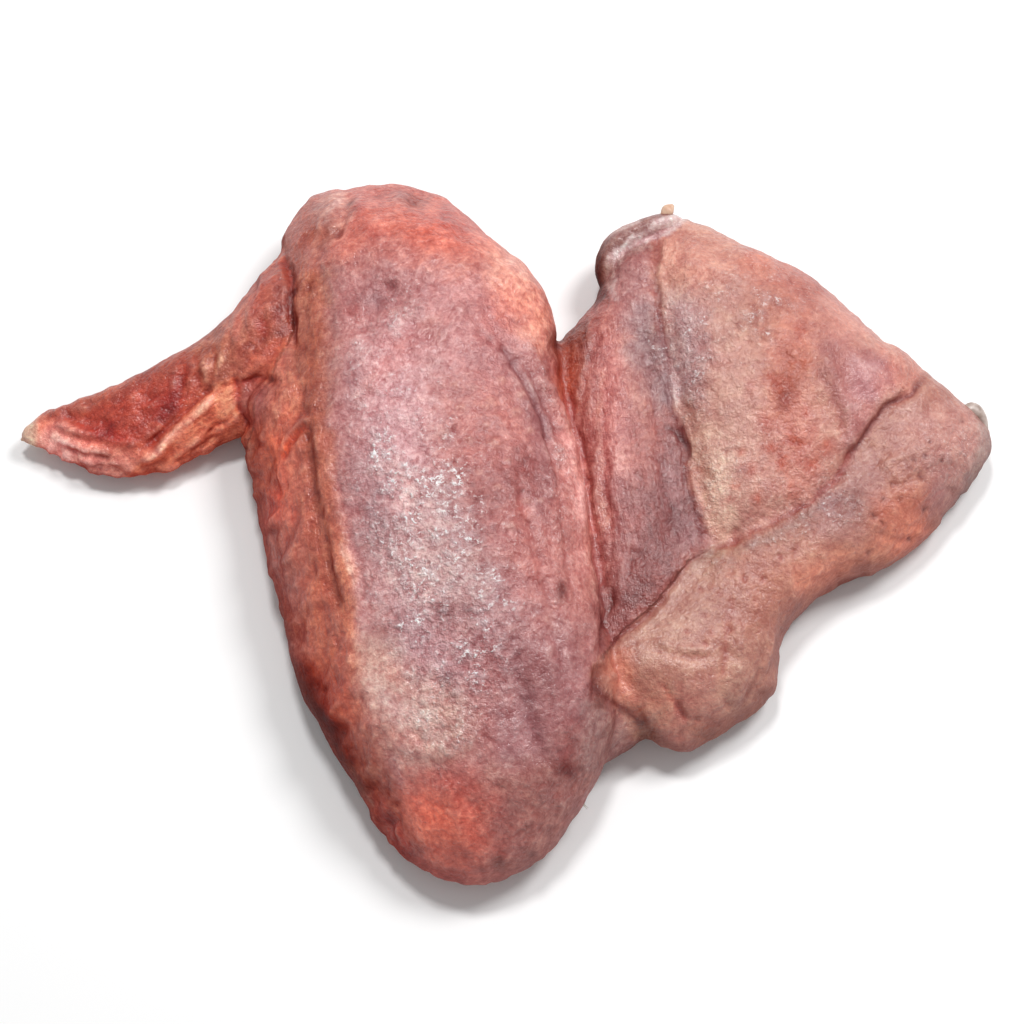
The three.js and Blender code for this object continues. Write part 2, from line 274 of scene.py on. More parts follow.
# ---------------------------------------------------------------- mesh helpers
def mesh_of(name, verts, faces):
    me = bpy.data.meshes.new(name)
    faces = np.asarray(faces)
    me.vertices.add(len(verts))
    me.vertices.foreach_set("co", np.asarray(verts, np.float32).ravel())
    k = faces.shape[1]
    me.loops.add(faces.size)
    me.loops.foreach_set("vertex_index", faces.astype(np.int32).ravel())
    me.polygons.add(len(faces))
    me.polygons.foreach_set("loop_start", (np.arange(len(faces)) * k).astype(np.int32))
    me.update(calc_edges=True)
    me.validate()
    return me


def coords(me):
    out = np.empty(len(me.vertices) * 3, np.float32)
    me.vertices.foreach_get("co", out)
    return out.reshape(-1, 3).astype(float)


def put_coords(me, v):
    me.vertices.foreach_set("co", np.asarray(v, np.float32).ravel())
    me.update()


def normals(me):
    out = np.empty(len(me.vertices) * 3, np.float32)
    me.vertex_normals.foreach_get("vector", out)
    return out.reshape(-1, 3).astype(float)


class Web:
    """The edges of a mesh, for smoothing values over it."""

    def __init__(self, me):
        e = np.empty(len(me.edges) * 2, np.int32)
        me.edges.foreach_get("vertices", e)
        e = e.reshape(-1, 2)
        self.a, self.b, self.n = e[:, 0], e[:, 1], len(me.vertices)
        self.deg = np.bincount(self.a, minlength=self.n) + np.bincount(self.b, minlength=self.n)

    def mean(self, x):
        if x.ndim == 1:
            return (np.bincount(self.a, x[self.b], self.n) + np.bincount(self.b, x[self.a], self.n)) / self.deg
        return np.stack([self.mean(x[:, i]) for i in range(x.shape[1])], -1)

    def smooth(self, x, times, weight=1.0):
        for _ in range(times):
            m = self.mean(x) - x
            x = x + m * (0.5 * (weight if np.isscalar(weight) or x.ndim == 1 else weight[:, None]))
        return x


def applied(obj):
    dg = bpy.context.evaluated_depsgraph_get()
    me = bpy.data.meshes.new_from_object(obj.evaluated_get(dg))
    return me


# ---------------------------------------------------------------- body of the wing
def build_body():
    verts, faces, base = [], [], 0
    for seg in SEGMENTS.values():
        v, f = loft(seg)
        verts.append(v)
        faces.append(f + base)
        base += len(v)
    rough = bpy.data.objects.new("rough", mesh_of("rough", np.concatenate(verts), np.concatenate(faces)))
    bpy.context.scene.collection.objects.link(rough)
    mod = rough.modifiers.new("join", "REMESH")
    mod.mode = "VOXEL"
    mod.voxel_size = VOXEL
    mod.adaptivity = 0
    me = applied(rough)
    bpy.data.objects.remove(rough)
    return me


# ---------------------------------------------------------------- marks on the skin
def curve(points, step=3.0):
    """A smooth line through points of the view, with a point about every 3."""
    p = np.array(points, float)
    if len(p) == 2:
        n = max(2, int(np.linalg.norm(p[1] - p[0]) / step))
        return p[0] + (p[1] - p[0]) * np.linspace(0, 1, n + 1)[:, None]
    keys = np.concatenate([[0], np.cumsum(np.linalg.norm(np.diff(p, axis=0), axis=1))])
    return np.array(through(keys, p, np.linspace(0, keys[-1], max(4, int(keys[-1] / step)))))


class Marks:
    """Places marks by where the skin falls in the view."""

    def __init__(self, uv):
        self.uv = uv

    def near(self, points, reach):
        """Distance to a line, which side of it (+1 right of its run), and how far along, for points within reach."""
        line = curve(points)
        low, high = line.min(0) - reach, line.max(0) + reach
        pick = np.nonzero(((self.uv > low) & (self.uv < high)).all(1))[0]
        p = self.uv[pick]
        best = np.full(len(p), 1e9)
        side = np.zeros(len(p))
        along = np.zeros(len(p))
        total = len(line) - 1
        for i in range(total):
            a, b = line[i], line[i + 1]
            d = b - a
            t = np.clip(((p - a) @ d) / (d @ d), 0, 1)
            off = p - a - t[:, None] * d
            dist = np.hypot(off[:, 0], off[:, 1])
            hit = dist < best
            best[hit] = dist[hit]
            side[hit] = np.sign(d[0] * off[hit, 1] - d[1] * off[hit, 0])
            along[hit] = (i + t[hit]) / total
        return pick, best, side, along

    def stroke(self, points, width, taper=0.12):
        """1 on the line, falling to 0 over `width` to each side, thinner at its ends."""
        out = np.zeros(len(self.uv))
        pick, d, side, t = self.near(points, width * 3)
        end = ramp(t, 0, taper) * ramp(1 - t, 0, taper) if taper else 1.0
        out[pick] = np.exp(-(d / width) ** 2) * end
        return out

    def lip(self, points, width, taper=0.12):
        """+1 on one side of the line and -1 on the other, fading over `width`: an edge of skin lying over what is beside it."""
        out = np.zeros(len(self.uv))
        pick, d, side, t = self.near(points, width * 4)
        end = ramp(t, 0, taper) * ramp(1 - t, 0, taper) if taper else 1.0
        out[pick] = side * (d / width) * np.exp(0.5 - 0.5 * (d / width) ** 2) * end
        return out

    def spot(self, at, radius, turn=0.0, power=2.0):
        rx, ry = (radius, radius) if np.isscalar(radius) else radius
        d = self.uv - np.array(at, float)
        c, s = math.cos(math.radians(turn)), math.sin(math.radians(turn))
        x, y = (d[:, 0] * c + d[:, 1] * s) / rx, (-d[:, 0] * s + d[:, 1] * c) / ry
        return np.exp(-np.sqrt(x * x + y * y) ** power)

    def ring(self, at, radius, width):
        rx, ry = (radius, radius) if np.isscalar(radius) else radius
        d = (self.uv - np.array(at, float)) / [rx, ry]
        r = np.hypot(d[:, 0], d[:, 1])
        return np.exp(-((r - 1) * min(rx, ry) / width) ** 2)

    def area(self, points, feather):
        """1 inside a shape, 0 outside, over `feather`."""
        p = np.array(points, float)
        x, y = self.uv[:, 0], self.uv[:, 1]
        low, high = p.min(0) - feather, p.max(0) + feather
        pick = np.nonzero((x > low[0]) & (x < high[0]) & (y > low[1]) & (y < high[1]))[0]
        x, y = x[pick], y[pick]
        inside = np.zeros(len(x), bool)
        best = np.full(len(x), 1e9)
        for a, b in zip(p, np.roll(p, -1, axis=0)):
            cross = ((a[1] > y) != (b[1] > y))
            with np.errstate(divide="ignore", invalid="ignore"):
                at = (b[0] - a[0]) * (y - a[1]) / (b[1] - a[1]) + a[0]
            inside ^= cross & (x < at)
            d = b - a
            t = np.clip(((x - a[0]) * d[0] + (y - a[1]) * d[1]) / (d @ d), 0, 1)
            best = np.minimum(best, np.hypot(x - a[0] - t * d[0], y - a[1] - t * d[1]))
        out = np.zeros(len(self.uv))
        out[pick] = ramp(np.where(inside, best, -best), -feather, feather)
        return out


# ---------------------------------------------------------------- the wing's own mesh
me = build_body()
web = Web(me)
V = web.smooth(coords(me), 10)
V[:, 2] = np.maximum(V[:, 2], 0)
put_coords(me, V)
N = normals(me)
uv0 = look(V)

# Lines and edges wander a little, as they do in flesh.
wander = np.stack([fractal(V, 9, 3, 5), fractal(V, 9, 3, 6)], -1)
small = np.stack([fractal(V, 3, 2, 7), fractal(V, 3, 2, 8)], -1)
broad = np.stack([fractal(V, 30, 2, 9), fractal(V, 30, 2, 10)], -1)
M = Marks(uv0 + 2.5 * wander + 1.0 * small)      # relief
R = Marks(uv0 + 2.0 * wander)                    # regions
top_side = ramp(N[:, 2], -0.35, 0.05) * ramp(V[:, 2], 0.5, 4.0)

HAND = R.area([(0, 380), (100, 350), (200, 300), (285, 235), (292, 262), (293, 300), (288, 345), (262, 400), (250, 440),
               (232, 480), (120, 510), (0, 470)], 5)
FOREARM = R.area([(285, 235), (290, 160), (440, 160), (550, 250), (556, 340), (567, 395), (580, 455), (592, 520),
                  (599, 580), (602, 640), (604, 680), (640, 740), (600, 800), (540, 910), (400, 910), (220, 480),
                  (250, 430), (288, 345), (293, 300)], 4)
WEB = R.area([(550, 330), (600, 270), (612, 262), (630, 246), (657, 240), (657, 280), (664, 320), (670, 370), (676, 415),
              (688, 455), (700, 500), (712, 545), (690, 562), (655, 604), (620, 636), (603, 662), (600, 600), (590, 520),
              (578, 455), (565, 395)], 4)
SHOULDER = R.area([(657, 235), (690, 205), (800, 240), (940, 365), (915, 391), (887, 406), (859, 446), (833, 481),
                   (793, 512), (760, 530), (715, 548), (700, 500), (688, 455), (676, 415), (670, 370), (664, 320),
                   (657, 280)], 4)
FLAP = R.area([(930, 365), (1010, 410), (1000, 480), (900, 600), (800, 640), (770, 730), (680, 780), (640, 735),
               (590, 675), (620, 632), (655, 602), (690, 560), (718, 545), (760, 530), (793, 512), (833, 481),
               (859, 446), (887, 406), (915, 391)], 4)
FRONT_EDGE = R.area([(296, 262), (318, 262), (324, 330), (322, 400), (328, 462), (338, 516), (352, 580), (356, 640),
                     (362, 700), (384, 760), (404, 820), (400, 870), (220, 480), (245, 430), (285, 360), (292, 310)], 9)
HOLLOW = R.area([(58, 415), (110, 398), (160, 376), (205, 358), (216, 390), (187, 418), (154, 444), (100, 440)], 7)
RIM = R.area([(216, 388), (183, 422), (154, 449), (126, 474), (160, 478), (195, 474), (210, 460), (228, 458),
              (246, 430), (238, 385)], 4)
ELBOW = R.area([(400, 770), (590, 750), (570, 830), (520, 900), (420, 900), (380, 830)], 16)

# Each mark: how far it stands up in millimetres, its half width and its run in the view.
SEAM = [(663, 232), (659, 261), (658, 279), (663, 297), (663, 315), (668, 338), (671, 360), (671, 395), (676, 413), (685, 440),
        (690, 467), (695, 500), (704, 525), (714, 545)]
CREASE = [(926, 378), (915, 391), (902, 398), (887, 406), (879, 416), (869, 428), (859, 446), (849, 456), (844, 466), (833, 481),
          (823, 489), (813, 499), (793, 512), (776, 522), (760, 530), (735, 540), (712, 550)]
LOBE_EDGE = [(712, 550), (701, 553), (687, 565), (673, 581), (657, 604), (637, 623), (619, 636), (606, 652)]
BACK_GROOVE = [(555, 338), (560, 370), (567, 395), (574, 422), (581, 455), (590, 510), (598, 560), (602, 600), (603, 630),
               (601, 655), (594, 690), (584, 730)]
RELIEF = [
    # wrist crease and the folded front edge of the forearm
    (-1.7, 4.0, [(283, 256), (291, 277), (290, 304), (292, 330), (294, 352)]),
    (-0.5, 4.0, [(294, 352), (299, 390), (307, 420)]),
    (-0.9, 5.0, [(307, 415), (309, 450), (312, 490), (318, 520), (328, 570), (340, 620)]),
    (0.4, 8.0, [(316, 430), (324, 470), (332, 515), (341, 560), (352, 610)]),
    (0.25, 3.0, [(326, 440), (333, 480), (340, 515), (350, 560), (357, 600), (366, 640)]),
    (-0.25, 3.4, [(331, 452), (340, 494), (346, 522), (352, 548), (363, 590)]),
    (0.3, 2.6, [(315, 505), (319, 525), (322, 550), (326, 580)]),
    (-0.25, 2.8, [(320, 503), (325, 525), (329, 550), (333, 580)]),
    (-0.5, 8.0, [(318, 262), (324, 300), (328, 345), (326, 390), (318, 425)]),
    (0.7, 4.0, [(308, 416), (297, 428), (288, 440), (278, 455)]),
    (-0.7, 3.0, [(309, 422), (299, 434), (290, 446), (281, 462)]),
    (0.6, 5.0, [(290, 385), (280, 402), (270, 424), (261, 444)]),
    (-0.5, 3.5, [(303, 448), (294, 470), (284, 492), (272, 520)]),
    (0.5, 5.0, [(298, 462), (290, 484), (280, 506), (268, 536)]),
    (-0.5, 3.5, [(305, 492), (298, 516), (289, 540), (278, 566)]),
    (0.5, 5.0, [(308, 512), (300, 540), (292, 566), (284, 590)]),
    (-0.5, 4.0, [(318, 556), (309, 580), (299, 604), (290, 628)]),
    (0.5, 5.5, [(326, 590), (318, 612), (308, 636), (302, 656)]),
    (-0.6, 4.0, [(340, 628), (332, 652), (322, 676), (314, 692)]),
    (0.5, 6.0, [(350, 650), (344, 676), (338, 700), (330, 722)]),
    (-0.5, 4.0, [(362, 690), (358, 716), (352, 740), (346, 756)]),
    (0.5, 5.0, [(376, 716), (374, 744), (372, 770), (368, 792)]),
    (-0.4, 4.0, [(392, 748), (388, 772), (384, 800)]),
    (0.6, 3.0, [(247, 432), (249, 452), (253, 474)]),
    # crown
    (0.8, 10.0, [(430, 292), (397, 326), (364, 357), (350, 384)]),
    (-0.9, 10.0, [(392, 278), (376, 304), (360, 338)]),
    (-0.5, 4.0, [(420, 316), (398, 340), (378, 366)]),
    (0.5, 4.0, [(470, 300), (452, 322), (436, 350)]),
    (-0.5, 3.4, [(456, 286), (463, 302), (472, 318), (484, 333), (498, 346)]),
    (-1.1, 3.4, [(493, 340), (507, 353), (518, 371), (529, 393), (541, 416), (550, 440), (556, 470)]),
    (-0.4, 3.0, [(482, 302), (493, 326), (509, 349)]),
    (-0.7, 3.0, [(509, 349), (525, 364), (538, 389), (550, 416), (562, 446)]),
    (1.1, 6.0, [(512, 325), (526, 345), (540, 370), (552, 395), (562, 420), (572, 450), (580, 490), (588, 530)]),
    (0.9, 14.0, [(500, 262), (525, 290), (540, 320), (549, 350)]),
    (-0.4, 3.2, [(545, 420), (553, 455), (560, 500), (567, 545), (572, 600)]),
    (0.4, 3.2, [(549, 398), (557, 418), (565, 440), (572, 470)]),
    (-0.7, 6.0, [(520, 470), (528, 520), (545, 575), (556, 640), (566, 700)]),
    (-1.0, 9.0, [(516, 640), (524, 690), (535, 730), (548, 770)]),
    (0.7, 9.0, [(545, 640), (560, 690), (566, 740)]),
    (0.5, 8.0, [(398, 740), (420, 752), (446, 750), (462, 740)]),
    (0.6, 9.0, [(440, 778), (452, 800), (462, 830), (468, 858)]),
    (-0.5, 6.0, [(395, 800), (402, 830), (420, 855)]),
    (-0.5, 6.0, [(500, 780), (505, 820), (500, 858)]),
    (0.6, 8.0, [(338, 196), (330, 214), (320, 236)]),
    (-0.6, 5.0, [(350, 192), (345, 214), (334, 240)]),
    (-0.4, 5.0, [(382, 192), (388, 215), (392, 240)]),
    (-0.4, 6.0, [(405, 200), (425, 202), (446, 214)]),
    (-0.75, 5.0, BACK_GROOVE),
    # wing tip: rolled lower rim with a sharp upper edge, ridges that run out to the tip
    (1.8, 7.0, [(216, 394), (192, 418), (166, 442), (138, 464)]),
    (-1.2, 3.4, [(214, 384), (192, 406), (167, 430), (142, 448)]),
    (-1.2, 2.8, [(236, 376), (239, 398), (243, 418), (250, 428)]),
    (-0.8, 2.8, [(239, 383), (249, 381), (258, 377), (268, 379), (278, 381)]),
    (-0.7, 4.0, [(262, 316), (263, 334), (256, 350), (246, 368)]),
    (0.5, 3.0, [(51, 424), (80, 433), (110, 440), (140, 444)]),
    (-0.5, 2.8, [(52, 431), (82, 440), (112, 447)]),
    (0.5, 3.0, [(56, 440), (85, 450), (112, 456)]),
    (-0.5, 2.8, [(60, 447), (88, 456), (114, 462)]),
    (0.5, 3.0, [(74, 460), (98, 463), (125, 462)]),
    (0.5, 3.0, [(46, 414), (70, 410), (92, 404)]),
    (-0.4, 4.0, [(60, 418), (84, 416), (106, 424)]),
    # web of skin over the upper arm
    (-0.5, 3.0, [(596, 330), (590, 362), (584, 392), (581, 425), (585, 470)]),
    (-0.3, 3.0, [(608, 380), (604, 430), (606, 480), (610, 540), (606, 590)]),
    (0.5, 9.0, [(622, 350), (616, 420), (620, 500), (624, 560), (616, 610)]),
    (-1.1, 12.0, [(648, 316), (652, 360), (658, 410), (668, 470), (676, 515), (660, 560)]),
    (0.5, 4.5, [(662, 340), (666, 380), (672, 420)]),
    (-0.7, 2.6, [(613, 585), (612, 600), (604, 622), (601, 650)]),
    (-0.4, 2.8, [(632, 545), (629, 565), (622, 590)]),
    (-0.3, 3.2, [(640, 470), (638, 510), (634, 545)]),
    (0.4, 4.0, [(598, 440), (596, 490), (598, 540)]),
    # breast skin
    (-1.0, 3.2, [(664, 424), (671, 428), (679, 435), (687, 447), (691, 463)]),
    (-0.5, 10.0, [(770, 330), (784, 372), (786, 402), (780, 440)]),
    (-0.4, 6.0, [(808, 360), (796, 400), (792, 440), (798, 480)]),
    (0.6, 6.0, [(822, 350), (836, 380), (848, 412), (848, 450)]),
    (-0.5, 4.0, [(812, 350), (826, 384), (840, 410), (842, 446)]),
    (-0.4, 2.2, [(781, 439), (797, 442), (813, 443)]),
    (-0.4, 4.0, [(700, 250), (740, 262), (780, 286)]),
    (0.4, 4.0, [(676, 262), (710, 268), (745, 284)]),
    # crease between the breast skin and the flap, and the flap itself
    (-1.0, 2.8, CREASE[:8]),
    (-0.6, 2.8, CREASE[6:13]),
    (-0.5, 2.8, CREASE[11:]),
    (0.5, 7.0, [(x + 7, y + 8) for x, y in CREASE[:12]]),
    (0.4, 6.0, [(x - 7, y - 7) for x, y in CREASE[:12]]),
    (-0.7, 3.0, LOBE_EDGE),
    (0.6, 4.5, [(x + 6, y + 5) for x, y in LOBE_EDGE]),
    (-0.6, 3.4, [(659, 678), (667, 695), (678, 707), (689, 724)]),
    (-0.5, 3.4, [(682, 676), (678, 692), (678, 707), (686, 720)]),
    (-0.5, 3.0, [(730, 588), (732, 604), (728, 620), (726, 645), (723, 681), (729, 718)]),
    (0.6, 6.0, [(740, 620), (741, 660), (740, 690), (741, 712)]),
    (-0.6, 4.0, [(768, 640), (762, 665), (752, 690), (738, 712)]),
    (0.5, 4.0, [(777, 628), (770, 650), (766, 676)]),
    (0.5, 3.0, [(651, 641), (676, 646), (700, 650), (720, 652)]),
    (-0.5, 3.5, [(648, 648), (680, 656), (712, 660)]),
    (-0.5, 4.0, [(735, 524), (733, 552), (731, 580)]),
    (-0.6, 4.0, [(795, 524), (796, 556), (797, 588)]),
    (1.0, 7.0, [(606, 670), (620, 688), (642, 704), (660, 720)]),
    (-0.5, 4.0, [(868, 530), (900, 542), (922, 534)]),
    (0.5, 5.0, [(880, 470), (905, 455), (940, 440)]),
    (-0.5, 5.0, [(890, 490), (920, 476), (955, 462)]),
    (-0.6, 3.5, [(700, 716), (690, 728), (676, 738)]),
    (-0.5, 4.0, [(820, 520), (800, 545), (775, 560)]),
    # cut shoulder joint
    (-0.5, 3.0, [(608, 292), (611, 272), (620, 254), (640, 241), (662, 230), (684, 222)]),
    (0.6, 5.0, [(601, 264), (612, 244), (632, 229), (662, 219), (700, 222)]),
    (0.5, 3.0, [(617, 272), (628, 256), (645, 246), (660, 238)]),
]
SPOTS = [  # height, radius, turn, places
    (0.6, (7, 18), 25, [(266, 438), (282, 470), (271, 522), (293, 512), (286, 562), (301, 548), (298, 612)]),
    (0.6, (8, 15), 15, [(312, 604), (311, 652), (328, 668), (334, 712), (352, 742), (348, 694), (366, 772), (380, 812)]),
    (-0.6, (7, 7), 0, [(276, 488), (300, 640), (318, 690), (341, 732), (392, 824)]),
    (-0.4, (6, 6), 0, [(104, 420), (142, 412), (166, 408), (84, 424)]),
    (0.7, (5, 15), 12, [(205, 368), (222, 362), (236, 334), (250, 318), (190, 376), (172, 384)]),
    (-0.6, (4, 15), 12, [(213, 364), (229, 350), (243, 326), (197, 372), (181, 380)]),
    (1.5, (13, 16), 0, [(257, 402)]),
    (1.4, (15, 12), -20, [(263, 360)]),
    (1.6, (20, 18), -30, [(636, 268)]),
    (0.5, (14, 22), -30, [(868, 382)]),
    (-0.7, (20, 12), 0, [(640, 556)]),
    (0.6, (12, 9), 0, [(400, 196), (360, 206), (444, 222)]),
    (-0.6, (6, 5), 0, [(375, 196), (415, 200), (444, 217), (335, 232)]),
]
FOLLICLES = [((489, 404), 9), ((462, 407), 6), ((516, 413), 7), ((495, 442), 9), ((446, 431), 6), ((512, 525), 8), ((478, 470), 5),
             ((502, 380), 5), ((470, 440), 6), ((530, 430), 5), ((455, 385), 5), ((540, 500), 5), ((486, 424), 5), ((520, 395), 5),
             ((508, 458), 5), ((474, 388), 4), ((527, 500), 5), ((496, 486), 5)]
PITS = [((687, 631), 6), ((712, 634), 6), ((731, 630), 5), ((744, 579), 5), ((764, 579), 5), ((720, 592), 4), ((705, 615), 5),
        ((705, 645), 5), ((780, 556), 4), ((700, 590), 4), ((756, 600), 4)]
PORES = [((929, 442), 1.8), ((925, 456), 2.4), ((914, 460), 2.3), ((921, 479), 2.7), ((894, 483), 2.0), ((899, 497), 3.0),
         ((884, 498), 1.8), ((925, 510), 2.5), ((874, 515), 2.7), ((882, 522), 1.8), ((869, 551), 2.1), ((961, 420), 2.1),
         ((918, 449), 1.6), ((941, 459), 2.0), ((911, 540), 2.1)]

up = np.zeros(len(V))
for height, width, line in RELIEF:
    up += height * M.stroke(line, width)
for height, radius, turn, places in SPOTS:
    for at in places:
        up += height * M.spot(at, radius, turn)
up += -0.5 * M.lip(SEAM, 3.4, 0.06) - 0.3 * M.stroke([(x - 5, y) for x, y in SEAM], 2.8, 0.06)
up += -1.5 * HOLLOW * M.stroke([(55, 428), (100, 420), (140, 410), (180, 395), (210, 375)], 26, 0.1)
for at, r in FOLLICLES:
    up += 0.30 * M.spot(at, (r * 0.9, r * 0.65)) - 0.25 * M.ring(at, (r * 1.3, r), 2.2)
for at, r in PITS:
    up += 0.2 * M.ring(at, r + 1, 2.2) - 0.4 * M.spot(at, r * 0.7)
for at, r in PORES:
    up -= 0.35 * M.spot(at, r + 1)


def folds(mask, count, flow, length, width, height, seed, spread=0.3):
    """Short ridges and creases that follow a direction, scattered over one part of the skin."""
    rng = np.random.RandomState(seed)
    pool = np.nonzero((mask > 0.5) & (top_side > 0.5))[0]
    total = np.zeros(len(V))
    for _ in range(count):
        p = uv0[pool[rng.randint(len(pool))]].copy()
        way = flow(p) if callable(flow) else flow
        heading = math.atan2(way[1], way[0]) + rng.uniform(-spread, spread)
        curl = rng.uniform(-0.06, 0.06)
        line = [p.copy()]
        for _ in range(max(3, int(length * rng.uniform(0.5, 1.4) / 6))):
            heading += curl + rng.uniform(-0.12, 0.12)
            p += 6 * np.array([math.cos(heading), math.sin(heading)])
            line.append(p.copy())
        amount = rng.choice([-1.0, -0.8, 0.9]) * rng.uniform(0.35, 1.0) * height
        total += amount * M.stroke(line, width * rng.uniform(0.7, 1.35), 0.35)
    return total * mask


crown = np.clip(FOREARM - FRONT_EDGE, 0, 1)
flesh = folds(FRONT_EDGE, 130, (-0.42, 0.91), 28, 2.8, 0.58, 201, 0.4)
flesh += folds(crown * R.area([(345, 630), (400, 640), (470, 700), (462, 764), (400, 752), (350, 690)], 10), 40, (0.72, 0.69), 34,
               2.6, 0.36, 211, 0.3)
flesh += folds(crown * R.area([(440, 630), (520, 620), (516, 700), (450, 704)], 10), 34, (0.42, -0.91), 16, 2.6, 0.42, 212, 0.4)
flesh += folds(crown, 150, (-0.6, 0.8), 26, 3.2, 0.30, 202, 0.9)
flesh += folds(crown * R.area([(500, 300), (560, 300), (610, 600), (590, 760), (500, 760), (520, 560)], 12), 60, (0.2, 0.98), 40,
               3.0, 0.34, 203)
flesh += folds(ELBOW, 50, (-0.1, 1.0), 28, 3.2, 0.4, 204, 0.5)
flesh += folds(WEB, 110, (0.02, 1.0), 40, 2.6, 0.20, 205, 0.15)
flesh += folds(HAND * (1 - RIM), 70, lambda p: (0.9, -0.44) if p[0] < 190 else (-0.34, 0.94), 26, 2.8, 0.42, 206)
flesh += folds(RIM, 40, (0.78, -0.62), 28, 2.6, 0.45, 207, 0.15)
flesh += folds(SHOULDER, 70, (0.4, 0.92), 22, 3.2, 0.25, 208, 0.9)
flesh += folds(FLAP * R.area([(700, 540), (1000, 360), (1010, 500), (800, 620)], 10), 60, (0.8, -0.6), 34, 3.2, 0.28, 209, 0.4)
flesh += folds(FLAP * R.area([(590, 660), (720, 540), (800, 600), (760, 740), (660, 770)], 10), 50, (0.3, 0.95), 26, 3.0, 0.22, 210, 0.7)

# flesh is nowhere even: slow swells, then wrinkles that run along each part
swell = 0.8 * fractal(V, 22, 3, 31) + 0.40 * fractal(V, 8, 3, 32)
s, c = math.sin(math.radians(38)), math.cos(math.radians(38))
slant_frame = (HAND + FLAP) > 0.5
s2, c2 = math.sin(math.radians(-82)), math.cos(math.radians(-82))
run = np.where(slant_frame, V[:, 0] * c + V[:, 1] * s, V[:, 0] * c2 + V[:, 1] * s2)
across = np.where(slant_frame, -V[:, 0] * s + V[:, 1] * c, -V[:, 0] * s2 + V[:, 1] * c2)
strand = np.stack([run / 6.0, across, V[:, 2]], -1)
streak = fractal(strand + 0.8 * np.stack([noise(V, 12, 44), noise(V, 12, 45), 0 * run], -1), 3.0, 3, 41)
pebble = fractal(V, 2.6, 2, 51)
up += flesh + swell * (0.45 + 0.45 * top_side)
up += streak * (0.18 * FRONT_EDGE + 0.06 * crown + 0.16 * WEB + 0.06 * SHOULDER + 0.20 * HAND + 0.08 * FLAP + 0.15 * RIM)
up += pebble * (0.10 + 0.05 * FLAP + 0.05 * SHOULDER)

# outlines are ragged, most of all the quill edge of the tip
edge = 1 - np.abs(N[:, 2])
quills = HAND * ramp(uv0[:, 1] - 0.1 * uv0[:, 0], 415, 440)
up += edge * (1.1 * noise(V, 4.5, 61) + 0.7 * noise(V, 2.4, 62)) * (1.0 * quills + 0.3) + 0.35 * edge
OUTLINE = [
    (1.4, 16, [(690, 218), (740, 236), (790, 258), (830, 292)]),
    (1.2, 14, [(880, 345), (905, 365), (935, 385)]),
    (-1.1, 16, [(440, 200), (480, 232), (520, 262), (545, 290)]),
    (-1.2, 12, [(548, 330), (562, 345), (590, 322), (602, 290)]),
    (-1.2, 16, [(300, 700), (325, 745), (350, 790), (375, 830)]),
    (-0.9, 14, [(215, 335), (245, 300), (270, 262), (285, 232)]),
    (1.2, 12, [(305, 205), (320, 192), (345, 188)]),
    (-0.9, 14, [(775, 690), (785, 640), (800, 610)]),
    (-0.9, 14, [(835, 590), (870, 572)]),
    (-0.9, 14, [(940, 525), (965, 490)]),
]
for amount, width, line in OUTLINE:
    up += amount * edge * M.stroke(line, width, 0.2)

held = ramp(V[:, 2], 0.2, 3.0)          # the flat underside stays flat
V2 = V + N * (up * held)[:, None]
V2 = web.smooth(V2, 1)
V2[:, 2] = np.maximum(V2[:, 2], 0)
put_coords(me, V2)
N2 = normals(me)


# ---------------------------------------------------------------- colour
def tone(r, g, b):
    """A colour as it looks under the lamps, turned into what the skin itself has."""
    c = np.array([r, g, b]) / 255.0
    return np.where(c <= 0.04045, c / 12.92, ((c + 0.055) / 1.055) ** 2.4) / 1.12


PINK, MAUVE, LILAC = tone(200, 136, 131), tone(190, 122, 122), tone(198, 152, 154)
ORANGE_RED, PEACH, SALMON = tone(228, 136, 114), tone(246, 178, 156), tone(206, 134, 124)
TAN, BROWN, OLIVE = tone(182, 108, 84), tone(143, 74, 58), tone(160, 96, 72)
DEEP_RED, BLOOD, RED = tone(112, 26, 20), tone(148, 22, 16), tone(184, 66, 54)
CREAM, PALE, WHITE = tone(214, 172, 156), tone(220, 164, 146), tone(232, 208, 200)
GREY_BLUE, PURPLE, PLUM = tone(152, 126, 134), tone(146, 92, 98), tone(116, 54, 62)
FLAP_SKIN, FLAP_PINK, FLAP_SALMON = tone(200, 142, 126), tone(206, 152, 146), tone(202, 122, 102)
TIP_RED, TIP_PINK, RIM_TONE, KNEE = tone(184, 74, 58), tone(244, 160, 142), tone(250, 146, 112), tone(184, 108, 92)
ELBOW_RED, ELBOW_GREY, BAND = tone(218, 106, 84), tone(166, 104, 94), tone(188, 98, 76)
TAN_LIGHT, MUSCLE, FILM = tone(206, 126, 104), tone(132, 74, 66), tone(238, 224, 222)
RUST, RUST_DARK = tone(186, 82, 46), tone(152, 46, 22)
ORANGE, EDGE_BROWN, GREY = tone(205, 84, 48), tone(128, 62, 48), tone(176, 150, 144)

P = Marks(uv0 + 6.0 * broad + 6.0 * wander + 2.5 * small)
F = Marks(uv0 + 2.0 * wander + 1.2 * small)
torn = 0.6 * fractal(V, 7, 4, 74) + 0.6 * fractal(V, 2.6, 2, 75)
blotch = fractal(V, 13, 4, 71)
blotch2 = fractal(V, 6, 4, 72)
blotch3 = fractal(V, 9, 4, 76)
fleck = fractal(V, 2.2, 3, 73)
paint = np.tile(PINK, (len(V), 1))


def dab(color, mark, strength=1.0, ragged=1.0):
    global paint
    m = np.clip(mark + ragged * torn * 2.2 * mark * (1 - mark), 0, 1)
    paint = paint + (color - paint) * (m * strength)[:, None]


